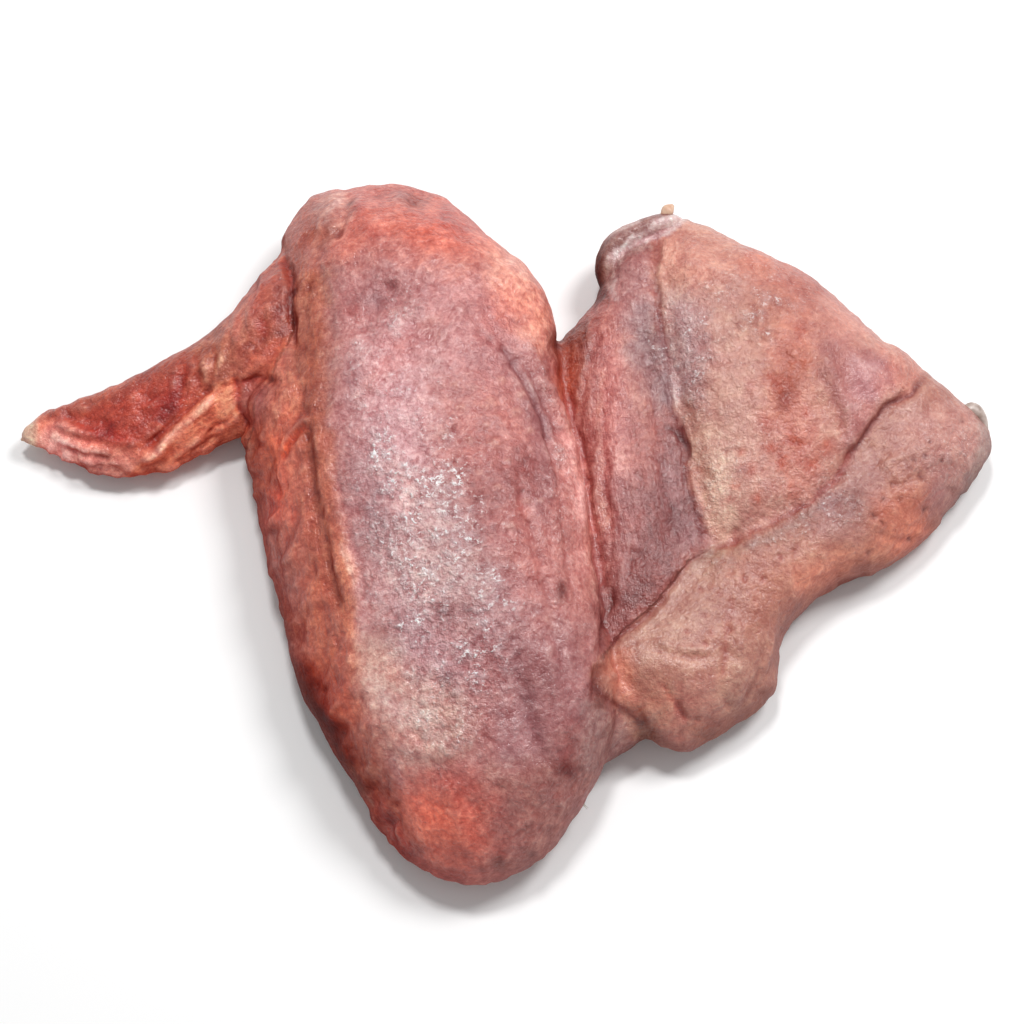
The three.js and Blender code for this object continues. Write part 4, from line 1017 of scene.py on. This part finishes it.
# brightness and tint by region: partly the skin's own tone, partly painted highlight on crests, ridges and wet places
# and painted shade on low edges and in hollows
TONE_AND_PAINTED_LIGHT = [
    (0.92, 0.86, 0.86, SHOULDER),
    (0.82, 0.75, 0.71, FLAP),
    (0.75, 0.60, 0.58, WEB),
    (1.08, 0.90, 0.78, FRONT_EDGE),
    (1.10, 0.85, 0.71, HAND * (1 - RIM)),
    (1.32, 1.46, 1.44, RIM),
    (0.94, 0.78, 0.76, R.area([(290, 160), (450, 160), (500, 225), (470, 262), (400, 255), (300, 262)], 24)),
    (0.90, 0.84, 0.82, R.area([(286, 262), (312, 262), (322, 330), (322, 410), (304, 410), (290, 340)], 16)),
    (1.32, 1.42, 1.46, 0.9 * M.spot((392, 700), (48, 58), 20) + 0.55 * M.spot((385, 430), (40, 90), 10) + 0.4 * M.spot((430, 640), (40, 60))),
    (1.10, 1.22, 1.22, M.spot((432, 735), (34, 26), 20)),
    (0.90, 0.86, 0.88, M.spot((540, 520), (30, 90), -10)),
    (0.74, 0.64, 0.62, M.spot((790, 300), (40, 34))),
    (0.90, 0.80, 0.78, 0.8 * M.spot((655, 360), (14, 60))),
    (1.45, 1.62, 1.66, M.spot((612, 400), (16, 74))),
    (1.50, 1.20, 1.00, M.spot((568, 372), (12, 34))),
    (1.30, 1.35, 1.35, M.spot((868, 386), (22, 20))),
    (1.50, 1.80, 1.80, M.spot((614, 684), (22, 22))),
    (1.28, 1.20, 1.14, M.spot((895, 510), (36, 30))),
    (1.15, 1.25, 1.28, M.spot((800, 562), (34, 20))),
    (1.16, 1.18, 1.16, M.spot((940, 430), (36, 30))),
    (1.22, 0.98, 0.88, M.spot((440, 808), (50, 34))),
    (0.86, 0.84, 0.82, M.spot((716, 240), (50, 24), 20)),
    (0.74, 0.70, 0.70, M.spot((860, 500), (30, 20), -36)),
    (1.12, 1.26, 1.26, M.spot((705, 700), (44, 40))),
    (0.76, 0.50, 0.40, M.spot((785, 392), (15, 22))),
    # forearm: brown corner, red upper end, redder right half, pale strip beside the web with a painted highlight along
    # its rounded edge, dark lower ends that are partly painted shade
    (0.84, 0.48, 0.36, M.spot((312, 230), (18, 24))),
    (1.00, 0.76, 0.68, M.spot((430, 228), (36, 20))),
    (0.97, 0.66, 0.62, M.spot((496, 308), (28, 26), 50)),
    (0.91, 0.78, 0.76, M.stroke([(450, 360), (480, 410), (498, 460), (498, 520), (498, 590)], 32)),
    (1.30, 1.42, 1.46, M.stroke([(560, 385), (568, 420), (574, 460), (580, 500), (586, 545), (590, 590)], 13)),
    (0.90, 0.72, 0.72, M.stroke([(430, 618), (462, 636), (490, 664), (500, 696)], 24)),
    (1.22, 1.34, 1.32, M.stroke([(384, 540), (382, 580), (384, 630)], 20)),
    (1.26, 1.42, 1.42, M.stroke([(344, 530), (350, 570), (356, 610), (362, 645)], 12)),
    (0.98, 0.78, 0.75, M.spot((405, 734), (34, 18), 15)),
    (0.78, 0.45, 0.32, M.stroke([(300, 655), (312, 685), (326, 715), (340, 745), (356, 772)], 13)),
    (0.72, 0.56, 0.46, M.stroke([(330, 735), (350, 765), (370, 795)], 12)),
    (0.80, 0.54, 0.54, M.stroke([(574, 712), (572, 745), (566, 780)], 15)),
    (1.00, 0.84, 0.78, M.spot((450, 850), (80, 48))),
    (1.18, 1.12, 1.10, M.spot((424, 802), (18, 18))),
    (1.30, 1.38, 1.34, M.stroke([(360, 290), (380, 330), (390, 390), (412, 445), (412, 500), (410, 560), (398, 625)], 30)),
    (1.16, 1.03, 0.97, M.spot((534, 314), (18, 34))),
    (1.15, 1.26, 1.28, M.spot((516, 770), (34, 16))),
    (0.84, 0.50, 0.38, M.stroke([(300, 655), (312, 685), (326, 715), (340, 745), (356, 772)], 14)),
    (1.44, 1.28, 1.14, M.stroke([(280, 430), (279, 470), (282, 510), (286, 530)], 14)),
    (1.12, 1.22, 1.22, M.stroke([(352, 600), (358, 630), (366, 655)], 12)),
    (0.88, 0.52, 0.42, M.stroke([(284, 258), (283, 285), (283, 318)], 11)),
    (1.20, 1.34, 1.34, M.spot((322, 298), (14, 22))),
    # tip
    (1.50, 1.62, 1.78, M.spot((60, 446), (28, 16), 15)),
    (0.98, 1.22, 1.50, M.stroke([(40, 425), (70, 452), (100, 464), (140, 470)], 16)),
    (1.20, 1.36, 1.34, M.stroke([(196, 376), (212, 366), (226, 356)], 13)),
    (0.96, 0.40, 0.36, M.spot((104, 436), (24, 8), 12)),
    (0.84, 0.30, 0.22, M.spot((172, 407), (16, 13))),
    (0.84, 0.80, 0.76, M.spot((172, 372), (18, 12), -25)),
    # web and joint
    (1.38, 1.72, 1.72, M.stroke([(608, 420), (611, 470), (613, 520), (614, 560), (610, 610)], 22, 0.3)),
    (1.24, 1.40, 1.42, M.stroke([(562, 425), (571, 460), (578, 500), (584, 530)], 12)),
    (1.16, 1.44, 1.42, M.stroke([(640, 258), (646, 300), (642, 360), (644, 430)], 19)),
    (0.70, 0.42, 0.40, M.stroke([(640, 548), (645, 582), (636, 614)], 19)),
    (0.58, 0.40, 0.32, M.spot((602, 270), (11, 22))),
    (1.30, 1.25, 1.10, M.spot((569, 372), (10, 26))),
    (0.58, 0.38, 0.34, M.stroke([(600, 660), (598, 690), (600, 712)], 9)),
    # breast skin and flap
    (0.91, 0.70, 0.65, M.stroke([(738, 250), (780, 270), (828, 300)], 20)),
    (1.28, 1.70, 1.80, M.stroke([(678, 280), (679, 322), (681, 350), (682, 384), (684, 412)], 15)),
    (0.86, 0.74, 0.68, M.spot((800, 350), (58, 38), 15)),
    (0.76, 0.64, 0.64, M.spot((824, 372), (15, 26))),
    (1.36, 1.72, 1.66, M.stroke([(708, 425), (714, 475), (722, 520), (738, 532)], 20)),
    (1.75, 1.72, 1.52, M.stroke([(786, 592), (818, 576), (858, 556), (896, 550), (932, 516)], 14)),
    (1.14, 1.22, 1.22, M.spot((822, 550), (34, 16), -20)),
    (1.05, 1.32, 1.24, M.spot((716, 552), (20, 10))),
    (0.88, 0.80, 0.76, M.spot((896, 440), (22, 18))),
    (1.20, 1.28, 1.28, M.spot((968, 448), (20, 26))),
    (1.24, 1.16, 1.08, M.spot((660, 700), (30, 18), 20)),
    (0.78, 0.72, 0.58, M.spot((642, 736), (14, 9))),
]
for r, g, b, where in TONE_AND_PAINTED_LIGHT:
    paint = paint * (1 + np.clip(where, 0, 1)[:, None] * (np.array([r, g, b]) - 1))
# last stains, blood and rust spots; the two WHITE dabs on the crown are a painted sheen
for color, strength, at, r in [(DEEP_RED, 0.85, (562, 592), (4, 8)), (DEEP_RED, 0.80, (568, 769), (10, 7)),
                               (BLOOD, 0.50, (450, 608), (9, 6)), (BLOOD, 0.35, (527, 469), (13, 11)), (BLOOD, 0.30, (462, 602), (6, 4)),
                               (RUST_DARK, 0.80, (785, 401), (5, 8)), (RUST, 0.45, (784, 384), (7, 12)), (BLOOD, 0.40, (478, 497), (9, 6)),
                               (WHITE, 0.30, (446, 574), (36, 20)), (WHITE, 0.25, (436, 486), (20, 12)), (DEEP_RED, 0.35, (498, 862), (8, 9)),
                               (PLUM, 0.40, (449, 676), (7, 5)), (BLOOD, 0.35, (508, 712), (8, 10)), (BLOOD, 0.30, (486, 732), (10, 7)),
                               (BLOOD, 0.65, (172, 394), (7, 12)), (BLOOD, 0.60, (164, 412), (9, 8)), (BLOOD, 0.55, (108, 424), (5, 9)),
                               (BLOOD, 0.50, (96, 437), (10, 4)), (BLOOD, 0.45, (262, 326), (5, 9)), (RUST, 0.35, (566, 378), (6, 26))]:
    dab(color, F.spot(at, r), strength, 0.8)
dab(tone(226, 196, 170), ramp(-uv0[:, 0], -42, -32), 0.9, 0)           # horn of the quill end
paint = np.clip(paint, 0.003, 0.95)

# where the skin is wet: it is glossier and finer grained there, and the material paints white glints and a sheen onto
# it
wet_and_glint = (0.50 * M.area([(372, 380), (440, 380), (490, 480), (520, 560), (500, 690), (440, 700), (380, 600), (350, 480)], 34)
         + 0.8 * M.spot((381, 444), (13, 12)) + 0.9 * M.spot((392, 470), (20, 15)) + 0.9 * M.spot((440, 482), (26, 15))
         + 0.9 * M.spot((462, 528), (22, 32)) + 0.7 * M.spot((440, 572), (40, 30)) + 0.7 * M.spot((408, 530), (26, 34))
         + 0.8 * M.spot((480, 652), (34, 24)) + 0.5 * M.spot((400, 610), (26, 22)) + 0.5 * M.spot((500, 600), (20, 20))
         + 0.55 * M.spot((416, 292), (22, 14)) + 0.45 * M.spot((396, 322), (30, 14), -40) + 0.3 * M.spot((370, 340), (30, 40))
         + 0.85 * M.spot((690, 366), (20, 60)) + 0.45 * M.spot((440, 720), (60, 40)) + 0.5 * M.spot((702, 490), (18, 40))
         + 0.40 * M.spot((730, 310), (50, 40)) + 0.30 * M.spot((760, 470), (50, 40)) + 0.45 * M.spot((940, 450), (34, 26))
         + 0.6 * M.spot((835, 500), (40, 26), -36) + 0.35 * M.spot((770, 320), (50, 50)) + 0.8 * M.spot((655, 334), (12, 24))
         + 0.30 * M.spot((560, 520), (16, 90)) + 0.4 * M.spot((780, 540), (50, 16), -20) + 0.5 * M.spot((710, 556), (24, 14))
         + 0.4 * M.spot((545, 380), (10, 40), -20) + 0.5 * M.spot((558, 452), (6, 26), -12))
wet_and_glint += 0.05 * WEB + 0.07 * SHOULDER + 0.05 * FLAP + 0.12 * crown
wet_and_glint = np.clip(wet_and_glint * (1 + 0.8 * blotch2 + 0.6 * blotch3), 0, 1.2) * (1 - turned)
grain = np.clip(0.20 + 0.85 * wet_and_glint + 0.16 * SHOULDER + 0.12 * FLAP, 0, 1)
fibre = np.clip(0.15 + 0.7 * FRONT_EDGE + 0.9 * WEB + 0.8 * HAND, 0, 1)


def attribute(name, values):
    kind = {1: "FLOAT", 3: "FLOAT_VECTOR"}[1 if values.ndim == 1 else 3] if name != "paint" else "FLOAT_COLOR"
    at = me.attributes.new(name, kind, "POINT")
    if kind == "FLOAT_COLOR":
        values = np.concatenate([values, np.ones((len(values), 1))], 1)
    at.data.foreach_set({"FLOAT": "value", "FLOAT_VECTOR": "vector", "FLOAT_COLOR": "color"}[kind],
                        values.astype(np.float32).ravel())


def thinned(mesh, most, under):
    """The mesh with at most so many triangles. Nearly all that go are on the flat underside, which has no detail."""
    obj = bpy.data.objects.new("dense", mesh)
    bpy.context.scene.collection.objects.link(obj)
    group = obj.vertex_groups.new(name="under")
    group.add(np.nonzero(under)[0].tolist(), 1.0, "REPLACE")
    group.add(np.nonzero(~under)[0].tolist(), 0.02, "REPLACE")
    mod = obj.modifiers.new("thin", "DECIMATE")
    mod.ratio = min(1.0, most / (len(mesh.loops) - 2 * len(mesh.polygons)))
    mod.vertex_group = "under"
    out = applied(obj)
    bpy.data.objects.remove(obj)
    return out


attribute("paint", paint)
attribute("wet_and_glint", wet_and_glint)
attribute("grain", grain)
attribute("fibre", fibre)
lower_edge = M.stroke([(270, 590), (300, 660), (326, 722), (352, 776), (382, 826)], 18)
attribute("dry", np.clip(turned + 0.7 * lower_edge + 0.5 * M.spot((600, 270), (10, 26)), 0, 1))
attribute("calm", web.smooth(np.clip(SHOULDER + FLAP, 0, 1), 6))
attribute("strand", strand)
me = thinned(me, 190000, (V2[:, 2] < 0.05) & (N2[:, 2] < -0.9))
put_coords(me, coords(me) * MM)
me.polygons.foreach_set("use_smooth", np.ones(len(me.polygons), bool))


# ---------------------------------------------------------------- materials
class Nodes:
    def __init__(self, name):
        self.mat = bpy.data.materials.new(name)
        self.mat.use_nodes = True
        self.t = self.mat.node_tree
        self.bsdf = self.t.nodes["Principled BSDF"]
        self.object = self.t.nodes.new("ShaderNodeTexCoord").outputs["Object"]

    def link(self, a, b):
        self.t.links.new(a, b)

    def put(self, node, key, value):
        socket = node.inputs[key]
        if isinstance(value, bpy.types.NodeSocket):
            self.link(value, socket)
        else:
            socket.default_value = value

    def attr(self, name, out="Fac"):
        n = self.t.nodes.new("ShaderNodeAttribute")
        n.attribute_name = name
        return n.outputs[out]

    def noise(self, scale, detail=4.0, rough=0.6, vector=None, distortion=0.0):
        n = self.t.nodes.new("ShaderNodeTexNoise")
        n.inputs["Scale"].default_value = scale
        n.inputs["Detail"].default_value = detail
        n.inputs["Roughness"].default_value = rough
        n.inputs["Distortion"].default_value = distortion
        self.link(vector or self.object, n.inputs["Vector"])
        return n.outputs["Fac"]

    def math(self, op, a, b=0.0, c=0.0, clamp=False):
        n = self.t.nodes.new("ShaderNodeMath")
        n.operation = op
        n.use_clamp = clamp
        for i, x in enumerate((a, b, c)):
            self.put(n, i, x)
        return n.outputs[0]

    def remap(self, x, a, b, c, d):
        n = self.t.nodes.new("ShaderNodeMapRange")
        for i, v in enumerate((x, a, b, c, d)):
            self.put(n, i, v)
        return n.outputs[0]

    def mix(self, kind, fac, a, b):
        n = self.t.nodes.new("ShaderNodeMix")
        n.data_type = "RGBA"
        n.blend_type = kind
        n.clamp_factor = True
        self.put(n, 0, fac)
        self.put(n, 6, a)
        self.put(n, 7, b)
        return n.outputs[2]

    def bump(self, height, strength, depth_mm):
        n = self.t.nodes.new("ShaderNodeBump")
        n.inputs["Strength"].default_value = strength
        n.inputs["Distance"].default_value = depth_mm * MM
        self.link(height, n.inputs["Height"])
        return n.outputs["Normal"]


def per_mm(size):
    return 1.0 / (size * MM)


def skin_material():
    s = Nodes("raw_skin")
    wet_and_glint_, grain_, fibre_ = s.attr("wet_and_glint"), s.attr("grain"), s.attr("fibre")
    base = s.attr("paint", "Color")
    fib = s.noise(1.0 / 1.1, 3, 0.6, s.attr("strand", "Vector"))
    soft = s.noise(per_mm(5.5), 5, 0.62)
    mott = s.noise(per_mm(1.9), 3, 0.6, distortion=0.4)
    micro = s.noise(per_mm(1.0), 4, 0.62, distortion=0.3)
    rill = s.noise(per_mm(1.5), 3, 0.6, distortion=0.5)
    patch = s.remap(s.noise(per_mm(4.2), 4, 0.66), 0.36, 0.62, 0, 1)
    wet_glint_patch = s.math("MULTIPLY", patch, wet_and_glint_)

    # colour
    dry = s.attr("dry")
    lively_ = s.math("SUBTRACT", 1.0, s.math("MULTIPLY", s.attr("calm"), 0.55))
    col = s.mix("MULTIPLY", 1.0, base, s.mix("MIX", s.remap(soft, 0.34, 0.66, 0, 1), (0.84, 0.72, 0.74, 1), (1.10, 1.15, 1.14, 1)))
    col = s.mix("MULTIPLY", fibre_, col, s.mix("MIX", s.remap(fib, 0.32, 0.68, 0, 1), (0.88, 0.78, 0.77, 1), (1.09, 1.13, 1.12, 1)))
    col = s.mix("MULTIPLY", lively_, col, s.mix("MIX", s.remap(mott, 0.32, 0.68, 0, 1), (0.85, 0.71, 0.72, 1), (1.11, 1.20, 1.19, 1)))
    col = s.mix("MULTIPLY", lively_, col, s.mix("MIX", s.remap(rill, 0.34, 0.66, 0, 1), (0.84, 0.71, 0.72, 1), (1.11, 1.19, 1.18, 1)))
    col = s.mix("MULTIPLY", 1.0, col, s.mix("MIX", s.remap(micro, 0.38, 0.62, 0, 1), (0.88, 0.80, 0.81, 1), (1.08, 1.13, 1.12, 1)))
    # in the wet patches, painted shade between the glints, a painted sheen and painted white glints stand in for
    # highlights on wet skin
    col = s.mix("MULTIPLY", s.math("MULTIPLY", wet_glint_patch, 0.5), col, (0.82, 0.76, 0.80, 1))
    painted_sheen = s.math("MULTIPLY", s.remap(mott, 0.40, 0.68, 0, 0.34), wet_glint_patch)
    col = s.mix("MIX", painted_sheen, col, (0.86, 0.76, 0.78, 1))
    start = s.math("SUBTRACT", 0.62, s.math("MULTIPLY", wet_glint_patch, 0.09))
    painted_glint = s.math("MULTIPLY", s.math("MULTIPLY", s.math("SUBTRACT", micro, start), 13.0, clamp=True), s.math("MULTIPLY", wet_glint_patch, 0.9), clamp=True)
    col = s.mix("MIX", painted_glint, col, (0.93, 0.88, 0.88, 1))
    s.link(col, s.bsdf.inputs["Base Color"])

    # wet and dry
    rough = s.math("SUBTRACT", s.remap(soft, 0.3, 0.7, 0.27, 0.42), s.math("MULTIPLY", wet_glint_patch, 0.18))
    rough = s.math("ADD", rough, s.math("MULTIPLY", dry, 0.40))
    s.link(s.math("MAXIMUM", rough, 0.14), s.bsdf.inputs["Roughness"])
    s.link(s.math("SUBTRACT", 0.36, s.math("MULTIPLY", dry, 0.32)), s.bsdf.inputs["Coat Weight"])
    s.link(s.math("SUBTRACT", 0.5, s.math("MULTIPLY", dry, 0.38)), s.bsdf.inputs["Specular IOR Level"])

    # relief finer than the mesh
    h = s.math("ADD", s.math("MULTIPLY", micro, 0.8), s.math("MULTIPLY", rill, 1.1))
    h = s.math("MULTIPLY", h, s.math("MULTIPLY", s.math("MAXIMUM", grain_, 0.36), s.remap(patch, 0, 1, 0.6, 1.0)))
    h = s.math("ADD", h, s.math("MULTIPLY", mott, 0.30))
    h = s.math("ADD", h, s.math("MULTIPLY", fib, s.math("MULTIPLY", fibre_, 0.42)))
    normal = s.bump(h, 1.0, 0.95)
    s.link(normal, s.bsdf.inputs["Normal"])
    s.link(normal, s.bsdf.inputs["Coat Normal"])

    b = s.bsdf.inputs
    b["IOR"].default_value = 1.45
    b["Coat Roughness"].default_value = 0.10
    b["Coat IOR"].default_value = 1.5
    b["Subsurface Weight"].default_value = 0.12
    b["Subsurface Radius"].default_value = (1.0, 0.38, 0.28)
    b["Subsurface Scale"].default_value = 0.002
    return s.mat


def plain_material(name, color, other, size_mm, rough):
    s = Nodes(name)
    n = s.noise(per_mm(size_mm), 3, 0.6)
    s.link(s.mix("MIX", s.remap(n, 0.35, 0.65, 0, 1), (*color, 1), (*other, 1)), s.bsdf.inputs["Base Color"])
    s.link(s.remap(n, 0.3, 0.7, rough, rough + 0.12), s.bsdf.inputs["Roughness"])
    s.link(s.bump(n, 0.6, 0.25), s.bsdf.inputs["Normal"])
    return s.mat


wing = bpy.data.objects.new("wing", me)
bpy.context.scene.collection.objects.link(wing)
wing.vertex_groups.clear()
me.materials.clear()
me.materials.append(skin_material())
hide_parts("turkey_wing")
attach(wing, "root")


# ---------------------------------------------------------------- small pieces
def strip(path, wide, thick, sides=12, per=6):
    """A closed, tapered strip along a path of points; wide and thick are half sizes at each."""
    path = np.array(path, float)
    keys = np.concatenate([[0], np.cumsum(np.linalg.norm(np.diff(path, axis=0), axis=1))])
    rows = np.concatenate([path, np.array(wide, float)[:, None], np.array(thick, float)[:, None]], 1)
    rows = np.array(through(keys, rows, np.linspace(0, keys[-1], per * (len(path) - 1) + 1)))
    mids = rows[:, :3]
    way = np.gradient(mids, axis=0)
    way /= np.linalg.norm(way, axis=1)[:, None]
    out = np.cross(way, [0.0, 0.0, 1.0])
    out /= np.linalg.norm(out, axis=1)[:, None] + 1e-9
    tall = np.cross(out, way)
    a = np.arange(sides) / sides * 2 * math.pi
    verts = [mids[0] - way[0] * 0.01]
    for m, o, u, w, t in zip(mids, out, tall, rows[:, 3], rows[:, 4]):
        verts += [m + o * w * math.cos(x) + u * t * math.sin(x) for x in a]
    verts.append(mids[-1] + way[-1] * 0.01)
    faces = []
    n = len(mids)
    for k in range(sides):
        k2 = (k + 1) % sides
        faces.append((0, 1 + k, 1 + k2))
        faces.append((len(verts) - 1, 1 + (n - 1) * sides + k2, 1 + (n - 1) * sides + k))
        for i in range(n - 1):
            p, q = 1 + i * sides, 1 + (i + 1) * sides
            faces.append((p + k, q + k, q + k2))
            faces.append((p + k, q + k2, p + k2))
    verts, faces = np.array(verts), np.array(faces)
    tri = verts[faces]
    if np.einsum("ij,ij->i", tri[:, 0] - mids[0], np.cross(tri[:, 1] - mids[0], tri[:, 2] - mids[0])).sum() < 0:
        faces = faces[:, ::-1]
    return verts, faces


def piece(name, parts, material):
    verts, faces, base = [], [], 0
    for v, f in parts:
        verts.append(v * MM)
        faces.append(f + base)
        base += len(v)
    mesh = mesh_of(name, np.concatenate(verts), np.concatenate(faces))
    mesh.polygons.foreach_set("use_smooth", np.ones(len(mesh.polygons), bool))
    mesh.materials.append(material)
    ob = bpy.data.objects.new(name, mesh)
    bpy.context.scene.collection.objects.link(ob)
    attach(ob, "root")
    return ob


horn = plain_material("horn", tone(226, 192, 166), tone(206, 160, 134), 1.5, 0.34)
film = plain_material("wet_film", tone(200, 184, 176), tone(158, 138, 128), 2.2, 0.30)
hair = plain_material("hair", tone(226, 220, 210), tone(196, 188, 178), 2.0, 0.45)

piece("quill_tip", [strip([place(46, 431, 6.0), place(38, 434, 5.6), place(29, 437, 5.2), place(21, 440, 4.8)],
                          [1.6, 2.3, 1.5, 0.3], [1.4, 1.9, 1.3, 0.25])], horn)
piece("joint_sliver", [strip([place(663, 223, 17), place(664, 216, 18), place(668, 210, 18.5), place(673, 205, 18.5)],
                             [1.3, 1.1, 1.7, 0.5], [0.8, 0.7, 1.0, 0.3])], horn)
piece("corner_film", [strip([place(962, 410, 13.5), place(972, 409, 12.8), place(981, 418, 11.4), place(985, 432, 10.2),
                             place(982, 448, 9.2), place(973, 462, 8.6), place(961, 474, 8.0)],
                            [0.6, 1.9, 1.4, 0.8, 1.3, 0.9, 0.3], [0.4, 1.2, 1.9, 1.6, 2.0, 1.4, 0.4])], film)
rng = np.random.RandomState(9)
tuft = []
for k in range(9):
    a, b = np.array([574.0 + rng.uniform(-3, 3), 797.0 + rng.uniform(-4, 4)]), rng.uniform(0.3, 1.3)
    tip = a + rng.uniform(10, 20) * np.array([math.cos(b), math.sin(b)])
    mid = (a + tip) / 2 + rng.uniform(-1.5, 1.5, 2)
    tuft.append(strip([place(*(a - [4, 3]), 10), place(*mid, 10.5), place(*tip, 8.5)], [0.16, 0.13, 0.05], [0.16, 0.13, 0.05], 6, 4))
piece("hair_tuft", tuft, hair)

# ---------------------------------------------------------------- table, lights, camera
floor_me = mesh_of("floor", np.array([[-3, -3, 0], [3, -3, 0], [3, 3, 0], [-3, 3, 0]], float), np.array([[0, 1, 2, 3]]))
floor = bpy.data.objects.new("floor", floor_me)
bpy.context.scene.collection.objects.link(floor)
fm = bpy.data.materials.new("floor")
fm.use_nodes = True
fm.node_tree.nodes["Principled BSDF"].inputs["Base Color"].default_value = (0.92, 0.92, 0.92, 1)
fm.node_tree.nodes["Principled BSDF"].inputs["Roughness"].default_value = 0.8
fm.node_tree.nodes["Principled BSDF"].inputs["Specular IOR Level"].default_value = 0.0
floor_me.materials.append(fm)

world = bpy.data.worlds.new("studio")
bpy.context.scene.world = world
world.use_nodes = True
world.node_tree.nodes["Background"].inputs["Color"].default_value = (1, 1, 1, 1)
world.node_tree.nodes["Background"].inputs["Strength"].default_value = 0.42


def lamp(name, at, size, watts, color=(1, 1, 1), to=(0, 0, 0.015)):
    data = bpy.data.lights.new(name, "AREA")
    data.shape = "DISK"
    data.size = size
    data.energy = watts
    data.color = color
    ob = bpy.data.objects.new(name, data)
    bpy.context.scene.collection.objects.link(ob)
    ob.location = at
    ob.rotation_euler = (Vector(to) - Vector(at)).to_track_quat("-Z", "Y").to_euler()
    return ob


lamp("key", (0.42, 0.34, 0.80), 0.30, 4.8)
lamp("top", (-0.06, 0.36, 0.92), 0.17, 4.2)

cam_data = bpy.data.cameras.new("camera")
cam_data.lens = LENS
cam_data.sensor_width = SENSOR
cam_data.clip_start = 0.01
cam = bpy.data.objects.new("camera", cam_data)
bpy.context.scene.collection.objects.link(cam)
cam.location = EYE * MM
cam.rotation_euler = (math.pi / 2 - ELEVATION, 0, 0)
bpy.context.scene.camera = cam
bpy.context.scene.view_settings.view_transform = "Standard"
